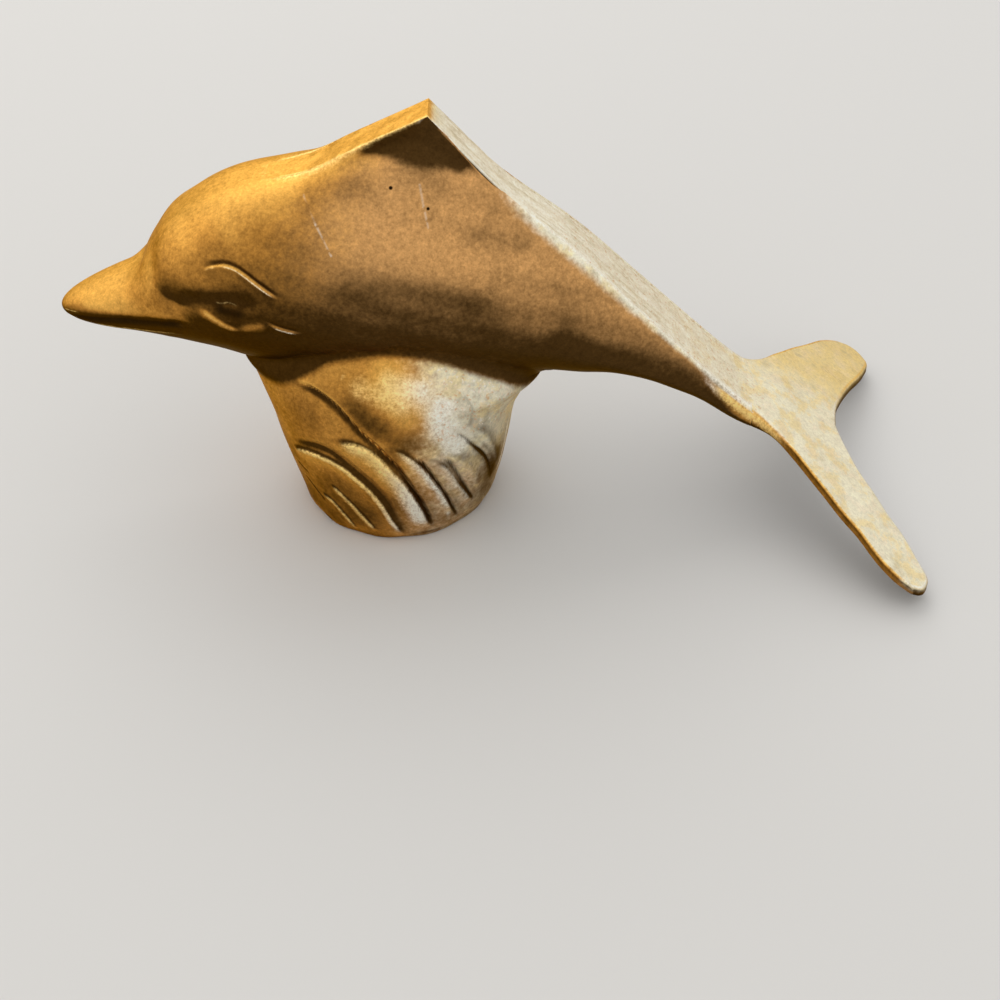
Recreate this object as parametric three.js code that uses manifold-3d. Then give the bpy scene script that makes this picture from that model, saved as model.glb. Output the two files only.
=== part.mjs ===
// A brass dolphin leaping over a wave, about 127 mm from beak to flukes.
// The body is a hollow casting in two half shells. A flat strip closes the seam
// along the back and over the dorsal fin, beads of brazing metal close the seam
// underneath, the tail casting is tongued into the end of the body, and the
// carved wave below has a spigot that enters the belly.
// Millimetres, +Z up, the head towards -X. The origin is the centre of the foot.
import * as THREE from 'three';
import { mergeVertices } from 'three/addons/utils/BufferGeometryUtils.js';
import Module from 'manifold-3d';

const wasm = await Module();
wasm.setup();

// Beak: a blunt paraboloid that ends at the crease below the forehead.
const beakTip = { x: -48.1, z: 33.5 };
const beakLength = 13;
const beakHalfWidth = 6.7;
const beakHalfHeight = 5.4;
const beakRootZ = 35.7;

// Body: lines along the casting, each a list of [x, value]. They are drawn with the
// tail root at drawnRootX, and behind the fin they stretch to where it really is.
const finTip = { x: 6.5, z: 65.2 };
const tailRootX = 53;
const drawnRootX = 53;
const foreheadLine = [[-35.1, 40.9], [-34.3, 43.3], [-33, 45.7], [-30.5, 48.7], [-27, 51.3],
  [-23, 53.4], [-18, 55], [-13, 56.1], [-9, 57.4], [-4, 60.1]];
const saddleLine = [[9, 62.4], [12, 59.1], [17, 53.7], [27, 45.1], [37, 35], [47, 25.1],
  [53, 19.6], [57, 17.2], [62, 14.2]];
// The back without the blade of the fin that stands on it.
const crownLine = [[-18, 55], [-13, 56], [-7, 57], [0, 57.5], [6.5, 57], [12, 55], [17, 52.3],
  [24, 47.3], [29, 43.3]];
const bladeSharpness = 6;
const bellyLine = [[-35.1, 30.3], [-30, 29.6], [-26, 28.6], [-20, 26.5], [-10, 25],
  [0, 24.5], [10, 24], [20, 23.7], [28, 23.6], [33, 23.6], [38, 22.5], [43, 20.3],
  [48, 17.4], [53, 14.2], [57, 13.5], [62, 12.4]];
const halfWidthLine = [[-35.1, 6.9], [-33, 8.6], [-30.5, 9.8], [-27, 11], [-22, 12.1],
  [-15, 12.9], [-7, 13.3], [1, 13.2], [9, 12.5], [17, 11.1], [25, 9.6], [33, 8.2],
  [41, 7.3], [49, 6.9], [54, 7], [62, 8]];
const widestLine = [[-35.1, 35.8], [-30, 39], [-22, 41.2], [-8, 41.6], [4, 40.4],
  [14, 37.6], [24, 33.2], [34, 28], [44, 23], [53, 17], [62, 13.2]];
const flatHalfWidthLine = [[-35.1, 0.3], [-24, 1.2], [-16, 2.2], [-8, 2.5], [6, 2.5],
  [15, 2.9], [25, 4], [35, 5], [45, 5.5], [53, 5.8], [62, 6.5]];
// How hollow the flank is under the ridge: 1 is round, 2 drops steeply at first.
const flareLine = [[-35.1, 1], [-20, 1], [-12, 1.2], [-4, 1.8], [4, 2.2], [10, 2.2],
  [18, 1.9], [28, 1.5], [40, 1.1], [53, 1], [62, 1]];

// Hollow casting.
const wall = 2.6;
const shoulderFill = 3;
const cavityFrontInset = 2.5;
const cavityRearInset = 10;
const cavityEndRound = 7;

// Joints.
const fitGap = 0.3;
const stripStartX = -16;
const stripThickness = 1.2;
const seamBeadHalfWidth = 0.8;
const seamBeadDepth = 1;
const ringHalfLength = 0.9;
const ringDepth = 0.8;
const tongueLength = 9;
const tongueHalfWidth = 3.5;
const tongueThickness = 2;
const spigotRadius = 5;
const spigotProud = 2.9;
const collarReach = 1.3;

// Tail casting: a short end of the tail stock that carries the flukes, a sloping
// plate that droops towards its two tips.
const stockLength = 9;
const flukePlate = 2.2;
const flukeEdge = 1.5;
const flukeSetback = 1;
const flukeStep = 0.24;
const flukeSlope = 0.59;
const flukeDroop = 0.0022;
const flukeHalfSpan = 29.7;
const tipSweep = 22;
// Both edges from the middle out: [share of the half span, distance behind the root].
const leadingLine = [[0, -2], [0.185, -1.6], [0.256, 1.2], [0.32, 3.6], [0.404, 5.8],
  [0.596, 10], [0.758, 14], [0.892, 17], [0.97, 19.6], [1, tipSweep]];
const trailingLine = [[0, 14.6], [0.152, 15.4], [0.313, 17.2], [0.488, 19.7], [0.64, 22.2],
  [0.781, 24.1], [0.882, 25.1], [0.953, 24.4], [0.987, 23.4], [1, tipSweep]];

// Wave base: how far it reaches from the origin at each height.
const footRadius = 14.5;
const footRound = 0.5;
const baseTopZ = 36;
const baseFrontLine = [[0, 0.2], [3, 0.9], [10, 2.7], [17, 4.3], [22, 5.7], [25, 6.7],
  [27, 7.7], [31, 4], [36, -2.5]];
const baseRearLine = [[0, 0.3], [3, 1.4], [10, 2.9], [17, 4.1], [20, 5.2], [22, 6.5],
  [23.6, 8.3], [27, 7], [31, 4], [36, -2.5]];
const baseSideLine = [[0, 0.5], [3, 1.1], [10, 1.4], [17, 1.2], [22, 0.5], [26, -0.5],
  [32, -2.6], [36, -5.5]];
// Carving: furrows across one side, by distance round the wave and height.
const roundRadius = 16;
const furrows = [
  { path: [[-16, 29], [-10.5, 26], [-4.5, 20.9], [0, 17.6], [5.5, 15.7]], wide: 1.5, deep: 1.1 },
  { path: [[-9.5, 18], [-3.1, 13], [0, 7.9], [3, 1.4]], wide: 1, deep: 0.9 },
  { path: [[-1, 17.6], [3, 11.6], [5.3, 6.2], [7, 1.4]], wide: 0.9, deep: 0.8 },
  { path: [[5, 16], [7.5, 10.6], [9.8, 5.6], [11, 2]], wide: 0.9, deep: 0.7 },
  { path: [[8.3, 15.1], [10.8, 10.2], [13.5, 4.4]], wide: 0.9, deep: 0.7 },
  { path: [[11.3, 19], [14.1, 15], [16.2, 10.6], [18.7, 5]], wide: 1, deep: 0.6 },
];

// Fineness of the surfaces.
const beakRings = 10;
const bodyStep = 2.6;
const flankSteps = 10;
const bellySteps = 8;
const cavitySteps = 7;
const flukeSteps = 12;
const chordSteps = 8;
const baseSpokes = 90;
const baseRings = 26;
const baseLean = 0.034;
const collarSpokes = 45;
const spigotSides = 24;

const brass = { color: 0x9a7440, roughness: 0.42, metalness: 1 };
const paleBrass = { color: 0xb3a57c, roughness: 0.38, metalness: 1 };
const brazing = { color: 0xc2a866, roughness: 0.6, metalness: 1 };

// A smooth curve through [at, value] points: cubic between neighbours, with the
// slope at a point taken from the points on both sides of it.
function through(points) {
  const slopes = points.map((_, i) => {
    const a = points[Math.max(i - 1, 0)];
    const b = points[Math.min(i + 1, points.length - 1)];
    return (b[1] - a[1]) / (b[0] - a[0]);
  });
  return (at) => {
    let i = 0;
    while (i < points.length - 2 && at > points[i + 1][0]) i += 1;
    const [x0, y0] = points[i];
    const [x1, y1] = points[i + 1];
    const span = x1 - x0;
    const t = Math.min(Math.max((at - x0) / span, 0), 1);
    const rest = 1 - t;
    return y0 * rest * rest * (1 + 2 * t) + y1 * t * t * (3 - 2 * t)
      + span * t * rest * (slopes[i] * rest - slopes[i + 1] * t);
  };
}

// The same for a line along the body, with its stretch behind the fin.
function alongBody(points) {
  const line = through(points);
  const stretch = (drawnRootX - finTip.x) / (tailRootX - finTip.x);
  return (x) => line(x < finTip.x ? x : finTip.x + (x - finTip.x) * stretch);
}

const creaseX = beakTip.x + beakLength;
const forehead = alongBody([...foreheadLine, [finTip.x, finTip.z]]);
const saddle = alongBody([[finTip.x, finTip.z], ...saddleLine]);
const belly = alongBody(bellyLine);
const halfWidth = alongBody(halfWidthLine);
const widest = alongBody(widestLine);
const flatHalfWidth = alongBody(flatHalfWidthLine);
const flare = alongBody(flareLine);
const crown = alongBody(crownLine);

// The top of the casting, over the dorsal fin.
function backZ(x) {
  return x < finTip.x ? forehead(x) : saddle(x);
}

// The back as it would run without the blade of the fin.
function crownZ(x) {
  return Math.min(crown(x), backZ(x));
}

// One closed ring of the body at x, from the back down each side to the belly:
// a flat top, flanks that flare out to the widest height with the fin's blade
// standing on them, and a round belly.
function bodyRing(x, grow = 0) {
  const top = crownZ(x) + grow;
  const blade = backZ(x) - crownZ(x);
  const low = belly(x) - grow;
  const mid = widest(x);
  const wide = halfWidth(x) + grow;
  const flat = flatHalfWidth(x);
  const power = flare(x);
  const half = [];
  for (let i = 0; i <= flankSteps; i += 1) {
    const turn = (i / flankSteps) * Math.PI / 2;
    const y = flat + (wide - flat) * Math.sin(turn) ** power;
    const z = mid + (top - mid) * Math.cos(turn) + blade * Math.cos(turn) ** bladeSharpness;
    half.push([y, z]);
  }
  for (let i = 1; i < bellySteps; i += 1) {
    const turn = (i / bellySteps) * Math.PI / 2;
    half.push([wide * Math.cos(turn), mid - (mid - low) * Math.sin(turn)]);
  }
  const ring = half.map(([y, z]) => new THREE.Vector3(x, y, z));
  ring.push(new THREE.Vector3(x, 0, low));
  half.reverse().forEach(([y, z]) => ring.push(new THREE.Vector3(x, -y, z)));
  return ring;
}

function beakMiddleZ(share) {
  return beakTip.z + (beakRootZ - beakTip.z) * share;
}

// One ring of the beak at a share of its length behind the tip: an oval.
function beakRing(share, grow, count) {
  const size = Math.sqrt(share);
  const x = beakTip.x + beakLength * share;
  const z = beakMiddleZ(share);
  const wide = Math.max(beakHalfWidth * size + grow, 0);
  const high = Math.max(beakHalfHeight * size + grow, 0);
  const ring = [];
  for (let i = 0; i < count; i += 1) {
    const turn = ((i + 0.5) / count) * Math.PI * 2;
    ring.push(new THREE.Vector3(x, wide * Math.sin(turn), z + high * Math.cos(turn)));
  }
  return ring;
}

// Places along x, evenly spaced between the stops that it keeps exactly.
function stations(...stops) {
  const list = [stops[0]];
  for (let i = 1; i < stops.length; i += 1) {
    const count = Math.max(Math.round((stops[i] - stops[i - 1]) / bodyStep), 1);
    for (let k = 1; k <= count; k += 1) {
      list.push(stops[i - 1] + (stops[i] - stops[i - 1]) * (k / count));
    }
  }
  return list;
}

// Skins a row of closed rings and closes both ends with a fan.
function loft(rings) {
  const count = rings[0].length;
  const points = rings.flat();
  const middles = [rings[0], rings[rings.length - 1]].map((ring) => ring
    .reduce((sum, point) => sum.add(point), new THREE.Vector3()).divideScalar(count));
  points.push(...middles);
  const faces = [];
  for (let r = 0; r < rings.length - 1; r += 1) {
    for (let i = 0; i < count; i += 1) {
      const a = r * count + i;
      const b = r * count + ((i + 1) % count);
      faces.push([a, b, a + count], [b, b + count, a + count]);
    }
  }
  const last = (rings.length - 1) * count;
  for (let i = 0; i < count; i += 1) {
    const next = (i + 1) % count;
    faces.push([next, i, points.length - 2], [last + i, last + next, points.length - 1]);
  }
  return solidOf(points, faces);
}

// A closed solid from points and faces, turned the right way out.
function solidOf(points, faces) {
  const geometry = new THREE.BufferGeometry().setFromPoints(points);
  geometry.setIndex(faces.flat());
  const merged = mergeVertices(geometry, 1e-3);
  const index = merged.index.array;
  const kept = [];
  for (let i = 0; i < index.length; i += 3) {
    const [a, b, c] = index.slice(i, i + 3);
    if (a !== b && b !== c && a !== c) kept.push(a, b, c);
  }
  const vertProperties = merged.attributes.position.array;
  if (volumeOf(vertProperties, kept) < 0) kept.reverse();
  return new wasm.Manifold(new wasm.Mesh({
    numProp: 3, vertProperties, triVerts: new Uint32Array(kept),
  }));
}

function volumeOf(positions, index) {
  const corner = [new THREE.Vector3(), new THREE.Vector3(), new THREE.Vector3()];
  let sum = 0;
  for (let i = 0; i < index.length; i += 3) {
    corner.forEach((point, k) => point.fromArray(positions, index[i + k] * 3));
    sum += corner[0].dot(corner[1].cross(corner[2]));
  }
  return sum / 6;
}

// A closed solid from one of three.js's own closed geometries.
function solidFrom(geometry) {
  const plain = geometry.index ? geometry.toNonIndexed() : geometry;
  const place = plain.attributes.position;
  const points = [];
  const faces = [];
  for (let i = 0; i < place.count; i += 1) {
    points.push(new THREE.Vector3().fromBufferAttribute(place, i));
    if (i % 3 === 2) faces.push([i - 2, i - 1, i]);
  }
  return solidOf(points, faces);
}

function block(lowX, highX, lowY, highY, lowZ, highZ) {
  const box = new THREE.BoxGeometry(highX - lowX, highY - lowY, highZ - lowZ);
  box.translate((lowX + highX) / 2, (lowY + highY) / 2, (lowZ + highZ) / 2);
  return solidFrom(box);
}

// The outside of beak and body as one solid, up to the end at x.
function bodySolid(endX, grow = 0) {
  const body = stations(creaseX, finTip.x, endX).map((x) => bodyRing(x, grow));
  const beak = [];
  for (let i = 0; i < beakRings; i += 1) {
    beak.push(beakRing((i / beakRings) ** 2, grow, body[0].length));
  }
  return loft([...beak, ...body]);
}

// The hollow inside: the body less its wall, solid under the fin, round-ended.
function cavitySolid() {
  const from = creaseX + cavityFrontInset;
  const to = tailRootX - cavityRearInset;
  const rings = stations(from, to).map((x) => {
    const top = crownZ(x) - wall - shoulderFill * (flare(x) - 1);
    const low = belly(x) + wall;
    const end = Math.min(x - from, to - x, cavityEndRound) / cavityEndRound;
    const size = Math.sqrt(1 - (1 - end) ** 2);
    const middle = (top + low) / 2;
    const ring = [];
    for (let i = 0; i < cavitySteps * 2; i += 1) {
      const turn = (i / cavitySteps) * Math.PI;
      const y = (halfWidth(x) - wall) * size * Math.sin(turn);
      ring.push(new THREE.Vector3(x, y, middle + (top - low) / 2 * size * Math.cos(turn)));
    }
    return ring;
  });
  return loft(rings);
}

// A ring with four corners, for bars that run along x.
function bar(x, halfWide, low, high) {
  return [[-halfWide, low], [halfWide, low], [halfWide, high], [-halfWide, high]]
    .map(([y, z]) => new THREE.Vector3(x, y, z));
}

// The strip along the ridge, with even thickness square to the slope. Its rebate
// is the same form grown by the fit and open at the top.
function stripSolid(grow = 0, proud = 0) {
  const nudge = 1e-3;
  const front = stripStartX - grow;
  const rear = tailRootX - ringHalfLength - fitGap + grow;
  const rings = stations(front, finTip.x, rear).map((x) => {
    const slope = (backZ(x + nudge) - backZ(x - nudge)) / (2 * nudge);
    const depth = (stripThickness + grow) * Math.hypot(1, slope);
    return bar(x, flatHalfWidth(x) + grow, backZ(x) - depth, backZ(x) + proud);
  });
  return loft(rings);
}

// A bead of brazing metal in the seam under the body, between two places.
function beadSolid(fromX, toX, grow = 0) {
  const rings = stations(fromX - grow, toX + grow).map((x) => {
    const low = x < creaseX ? beakLow(x) : belly(x);
    return bar(x, seamBeadHalfWidth + grow, low - grow, low + seamBeadDepth + grow);
  });
  return loft(rings);
}

function beakLow(x) {
  const share = (x - beakTip.x) / beakLength;
  return beakMiddleZ(share) - beakHalfHeight * Math.sqrt(share);
}

// The tongue of the tail casting, running up the middle of the tail stock.
function tongueSolid(grow = 0) {
  const half = tongueThickness / 2 + grow;
  const rings = [tailRootX - tongueLength - grow, tailRootX, tailRootX + ringHalfLength * 2]
    .map((x) => {
      const middle = (backZ(x) + belly(x)) / 2;
      return bar(x, tongueHalfWidth + grow, middle - half, middle + half);
    });
  return loft(rings);
}

// The ring of brazing metal let in flush around the joint of body and tail, and
// with a proud skin the groove that it fills.
function ringSolid(grow = 0, proud = 0) {
  const reach = ringHalfLength + grow;
  const outer = [tailRootX - reach, tailRootX, tailRootX + reach];
  const inner = [tailRootX - reach * 2, tailRootX, tailRootX + reach * 2];
  const skin = loft(outer.map((x) => bodyRing(x, proud)));
  return skin.subtract(loft(inner.map((x) => bodyRing(x, -ringDepth - grow))));
}

const flukeRootX = tailRootX + flukeSetback;
const flukeRootZ = backZ(flukeRootX) + flukeStep;
const leadingEdge = through(leadingLine);
const trailingEdge = through(trailingLine);

// The upper face of the flukes.
function flukeZ(x, y) {
  return flukeRootZ - flukeSlope * (x - flukeRootX) - flukeDroop * y * y;
}

// The fluke plate: rings around the chord, one after another across the span.
function flukeSolid() {
  const rings = [];
  for (let j = -flukeSteps; j <= flukeSteps; j += 1) {
    const share = Math.sin((Math.abs(j) / flukeSteps) * Math.PI / 2);
    const y = share * Math.sign(j) * flukeHalfSpan;
    const front = flukeRootX + leadingEdge(share);
    const back = flukeRootX + trailingEdge(share);
    rings.push(chordRing(front, back, y));
  }
  return loft(rings);
}

// One ring around the chord: along the upper face and back along the lower one.
function chordRing(front, back, y) {
  const upper = [];
  const lower = [];
  for (let i = 0; i <= chordSteps; i += 1) {
    const share = i / chordSteps;
    const x = front + (back - front) * share;
    const thick = flukeEdge + (flukePlate - flukeEdge) * Math.sin(share * Math.PI);
    upper.push(new THREE.Vector3(x, y, flukeZ(x, y)));
    lower.unshift(new THREE.Vector3(x, y, flukeZ(x, y) - thick));
  }
  return [...upper, ...lower];
}

const baseFront = through(baseFrontLine);
const baseRear = through(baseRearLine);
const baseSide = through(baseSideLine);

// Depth of the carving at a distance round the wave and a height.
function carving(round, z) {
  let depth = 0;
  furrows.forEach(({ path, wide, deep }) => {
    let near = Infinity;
    for (let i = 0; i < path.length - 1; i += 1) {
      const [ax, az] = path[i];
      const [bx, bz] = path[i + 1];
      const along = ((round - ax) * (bx - ax) + (z - az) * (bz - az))
        / ((bx - ax) ** 2 + (bz - az) ** 2);
      const t = Math.min(Math.max(along, 0), 1);
      near = Math.min(near, Math.hypot(round - ax - (bx - ax) * t, z - az - (bz - az) * t));
    }
    depth = Math.max(depth, deep * Math.exp(-((near / wide) ** 2)));
  });
  return depth;
}

// The wave: oval rings whose reach changes with height, less the depth that is
// cut away. The points lean the way the furrows do.
function waveSolid(spokes, depthAt, grow) {
  const rings = [];
  for (let k = 0; k <= baseRings; k += 1) {
    const z = baseTopZ * (k / baseRings);
    const ring = [];
    for (let i = 0; i < spokes; i += 1) {
      const even = (i / spokes) * Math.PI * 2;
      const turn = even + baseLean * Math.sin(even) * z;
      const line = Math.cos(turn) < 0 ? baseFront : baseRear;
      const reachX = footRadius + line(z) + grow;
      const reachY = footRadius + baseSide(z) + grow;
      const x = reachX * Math.cos(turn);
      const y = reachY * Math.sin(turn);
      const round = roundRadius * Math.atan2(x, Math.abs(y));
      const out = Math.hypot(x, y);
      const rim = z < footRound ? footRound - z : 0;
      const cut = (depthAt(round, z) + rim) / out;
      ring.push(new THREE.Vector3(x * (1 - cut), y * (1 - cut), z));
    }
    rings.push(ring);
  }
  return loft(rings);
}

// The plain form without its carving, grown a little, for what lies against it.
function plainWaveSolid(grow) {
  return waveSolid(collarSpokes, () => 0, grow);
}

// How far one side of the wave reaches at its widest height.
function furthest(line) {
  return footRadius + Math.max(...line.map(([, out]) => out));
}

// The spigot that stands up from the wave through the wall of the belly.
function spigotSolid(grow = 0) {
  const low = belly(0) - wall;
  const high = belly(0) + wall + spigotProud + grow;
  const radius = spigotRadius + grow;
  const post = new THREE.CylinderGeometry(radius, radius, high - low, spigotSides);
  post.rotateX(Math.PI / 2);
  post.translate(0, 0, (low + high) / 2);
  return solidFrom(post);
}

// Assembly.
const part = new THREE.Group();

function add(name, solid, look) {
  const mesh = solid.getMesh();
  const geometry = new THREE.BufferGeometry();
  geometry.setAttribute('position', new THREE.BufferAttribute(mesh.vertProperties, 3));
  geometry.setIndex(new THREE.BufferAttribute(mesh.triVerts, 1));
  const item = new THREE.Mesh(geometry, new THREE.MeshStandardMaterial(look));
  item.name = name;
  part.add(item);
}

// The seams end at the wave and at the ring around the tail.
const chinSeam = [beakTip.x + beakLength / 2, -furthest(baseFrontLine) - fitGap];
const keelSeam = [furthest(baseRearLine) + fitGap, tailRootX - ringHalfLength - fitGap];

const body = bodySolid(tailRootX);
const roomyBody = bodySolid(tailRootX, fitGap);
const shells = body
  .subtract(cavitySolid())
  .subtract(stripSolid(fitGap, stripThickness))
  .subtract(beadSolid(...chinSeam, fitGap))
  .subtract(beadSolid(...keelSeam, fitGap))
  .subtract(tongueSolid(fitGap))
  .subtract(ringSolid(fitGap, ringDepth))
  .subtract(spigotSolid(fitGap));

const far = 2 * (tailRootX - beakTip.x);
add('body_left_shell', shells.intersect(block(-far, far, -far, 0, -far, far)), brass);
add('body_right_shell', shells.intersect(block(-far, far, 0, far, -far, far)), brass);
add('back_strip', stripSolid(), paleBrass);
add('chin_seam_bead', beadSolid(...chinSeam), brazing);
add('keel_seam_bead', beadSolid(...keelSeam), brazing);

const tailStock = loft(stations(tailRootX, tailRootX + stockLength).map((x) => bodyRing(x)));
const flukes = flukeSolid()
  .subtract(block(-far, tailRootX, -far, far, -far, far))
  .add(tailStock)
  .add(tongueSolid())
  .subtract(ringSolid(fitGap, ringDepth));
add('tail_flukes', flukes, paleBrass);
add('tail_braze_ring', ringSolid(), brazing);

const wave = waveSolid(baseSpokes, carving, 0).subtract(roomyBody).add(spigotSolid());
add('wave_base', wave, brass);

const collar = plainWaveSolid(collarReach)
  .intersect(bodySolid(tailRootX, collarReach))
  .subtract(roomyBody)
  .subtract(plainWaveSolid(fitGap));
add('base_braze_collar', collar, brazing);

export default part;
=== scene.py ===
import bmesh
import bpy
import numpy as np
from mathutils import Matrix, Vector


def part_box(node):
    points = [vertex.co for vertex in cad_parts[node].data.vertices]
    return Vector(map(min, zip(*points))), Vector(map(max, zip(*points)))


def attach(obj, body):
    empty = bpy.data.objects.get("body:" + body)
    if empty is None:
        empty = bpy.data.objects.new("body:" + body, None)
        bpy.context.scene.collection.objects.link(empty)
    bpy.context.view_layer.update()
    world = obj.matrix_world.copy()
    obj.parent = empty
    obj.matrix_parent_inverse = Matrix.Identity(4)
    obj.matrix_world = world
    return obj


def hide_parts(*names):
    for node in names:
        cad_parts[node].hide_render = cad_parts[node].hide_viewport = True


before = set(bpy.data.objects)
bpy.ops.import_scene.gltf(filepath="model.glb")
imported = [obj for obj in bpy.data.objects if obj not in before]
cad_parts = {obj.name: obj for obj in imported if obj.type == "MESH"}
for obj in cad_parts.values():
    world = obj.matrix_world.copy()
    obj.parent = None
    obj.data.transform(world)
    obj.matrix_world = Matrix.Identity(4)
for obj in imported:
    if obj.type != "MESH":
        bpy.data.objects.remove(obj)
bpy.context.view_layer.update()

# The view: down on the figurine's left side by 42 degrees, from about 26 cm away.
view_lens_mm = 57.6
view_place_mm = (16.1, -193.7, 169.0)
view_down_deg = 42

view = bpy.data.objects.new("view", bpy.data.cameras.new("view"))
view.data.lens = view_lens_mm
view.data.clip_start = 0.01
view.location = [0.001 * place for place in view_place_mm]
view.rotation_euler = (np.radians(90 - view_down_deg), 0, 0)
bpy.context.scene.collection.objects.link(view)
bpy.context.scene.camera = view
bpy.context.scene.view_settings.view_transform = "Standard"


# The body: a hollow brass casting in two half shells that meet along the ridge and
# the keel, from the tip of the beak to the root of the tail. Eyes, brows and mouth
# are cast in; the skin is rubbed smooth and has turned brown. Painted shade makes it
# darkest underneath, and painted highlights run along its lines and edges.
# All sizes are in millimetres; each curve goes through (x, value) points along the body.
MM = 0.001
left_low, left_high = [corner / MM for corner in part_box("body_left_shell")]
beak_tip_x = left_low.x
beak_tip_z = 33.5
beak_length = 13
crease_x = beak_tip_x + beak_length
fin_x, fin_z = 6.5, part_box("back_strip")[1].z / MM
tail_root_x = left_high.x


def through(points):
    """A smooth curve through (at, value) points: cubic between neighbours, and its slope at a point
    is that of the line between the points on both sides of it."""
    at, value = np.array(points, float).T
    before, after = np.maximum(np.arange(len(at)) - 1, 0), np.minimum(np.arange(len(at)) + 1, len(at) - 1)
    slope = (value[after] - value[before]) / (at[after] - at[before])

    def curve(x):
        i = np.clip(np.searchsorted(at, x, side="right") - 1, 0, len(at) - 2)
        span = at[i + 1] - at[i]
        t = np.clip((x - at[i]) / span, 0, 1)
        rest = 1 - t
        return (value[i] * rest ** 2 * (1 + 2 * t) + value[i + 1] * t ** 2 * (3 - 2 * t)
                + span * t * rest * (slope[i] * rest - slope[i + 1] * t))

    return curve


forehead = through([
    (-35.1, 40.9), (-34.3, 43.3), (-33, 45.7), (-30.5, 48.7), (-27, 51.3), (-23, 53.4), (-18, 55),
    (-13, 56.1), (-9, 57.4), (-4, 60.1), (fin_x, fin_z)])
saddle = through([
    (fin_x, fin_z), (9, 62.4), (12, 59.1), (17, 53.7), (27, 45.1), (37, 35), (47, 25.1), (53, 19.6),
    (57, 17.2), (62, 14.2)])
crown = through([
    (-18, 55), (-13, 56), (-7, 57), (0, 57.5), (6.5, 57), (12, 55), (17, 52.3), (24, 47.3), (29, 43.3)])
belly = through([
    (-35.1, 30.3), (-30, 29.6), (-26, 28.6), (-20, 26.5), (-10, 25), (0, 24.5), (10, 24), (20, 23.7),
    (28, 23.6), (33, 23.6), (38, 22.5), (43, 20.3), (48, 17.4), (53, 14.2), (57, 13.5), (62, 12.4)])
half_width = through([
    (-35.1, 6.9), (-33, 8.6), (-30.5, 9.8), (-27, 11), (-22, 12.1), (-15, 12.9), (-7, 13.3), (1, 13.2),
    (9, 12.5), (17, 11.1), (25, 9.6), (33, 8.2), (41, 7.3), (49, 6.9), (54, 7), (62, 8)])
widest = through([
    (-35.1, 35.8), (-30, 39), (-22, 41.2), (-8, 41.6), (4, 40.4), (14, 37.6), (24, 33.2), (34, 28), (44, 23),
    (53, 17), (62, 13.2)])
flat_half = through([
    (-35.1, 0.3), (-24, 1.2), (-16, 2.2), (-8, 2.5), (6, 2.5), (15, 2.9), (25, 4), (35, 5), (45, 5.5),
    (53, 5.8), (62, 6.5)])
flare = through([
    (-35.1, 1), (-20, 1), (-12, 1.2), (-4, 1.8), (4, 2.2), (10, 2.2), (18, 1.9), (28, 1.5), (40, 1.1),
    (53, 1), (62, 1)])
blade_sharpness = 6
strip_start_x, strip_thickness = -16, 1.2
ring_half_length, ring_depth = 0.9, 0.8
bead_half_width, bead_depth, bead_play = 0.8, 0.9, 0.1
chin_bead = (crease_x - 6.5, -22.5)
keel_bead = (23.1, tail_root_x - ring_half_length)
wall = 2.6


def ease(low, high, value):
    """0 at low and 1 at high, with a smooth S between them; low may be above high."""
    t = np.clip((value - low) / (high - low), 0, 1)
    return t * t * (3 - 2 * t)


def graded(stops, counts):
    """Places that go from stop to stop, with so many even steps between each two."""
    return np.interp(np.arange(sum(counts) + 1), np.cumsum([0, *counts]), stops)


def spread(x, y, z):
    """Points from their coordinates, each of which is spread over the grid of all three."""
    return np.stack(np.broadcast_arrays(x, y, z), -1)


def body_lines(x):
    """The section's ridge, crown, widest, lowest, half width, half flat and flare at x. Ahead of the
    crease they shrink to the beak's tip with the root of the distance, as a paraboloid does."""
    share = np.clip((x - beak_tip_x) / beak_length, 0, 1)
    size = np.sqrt(share)
    at = np.maximum(x, crease_x)
    ridge = np.where(at < fin_x, forehead(at), saddle(at))
    middle = widest(at)
    z = beak_tip_z + (middle - beak_tip_z) * share
    crown_z = np.minimum(crown(at), ridge)
    return (z + (ridge - middle) * size, z + (crown_z - middle) * size, z,
            z + (belly(at) - middle) * size, half_width(at) * size, flat_half(at) * size, flare(at))


def body_skin(x, turn):
    """The right side of the casting at x and a turn about its length, from the ridge's edge at 0 to
    the keel at a half turn. The flank runs out from the flat by a power of the turn's sine, with the
    blade of the fin standing on it, and the belly is a quarter oval."""
    ridge, crown_z, middle, low, wide, flat, power = body_lines(x)
    rise, out = np.cos(turn), np.maximum(np.sin(turn), 0)
    upper = turn < np.pi / 2
    blade = (ridge - crown_z) * np.maximum(rise, 0) ** blade_sharpness
    y = np.where(upper, flat + (wide - flat) * out ** power, wide * out)
    z = np.where(upper, middle + (crown_z - middle) * rise + blade, middle + (middle - low) * rise)
    return spread(x, y, z)


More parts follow.
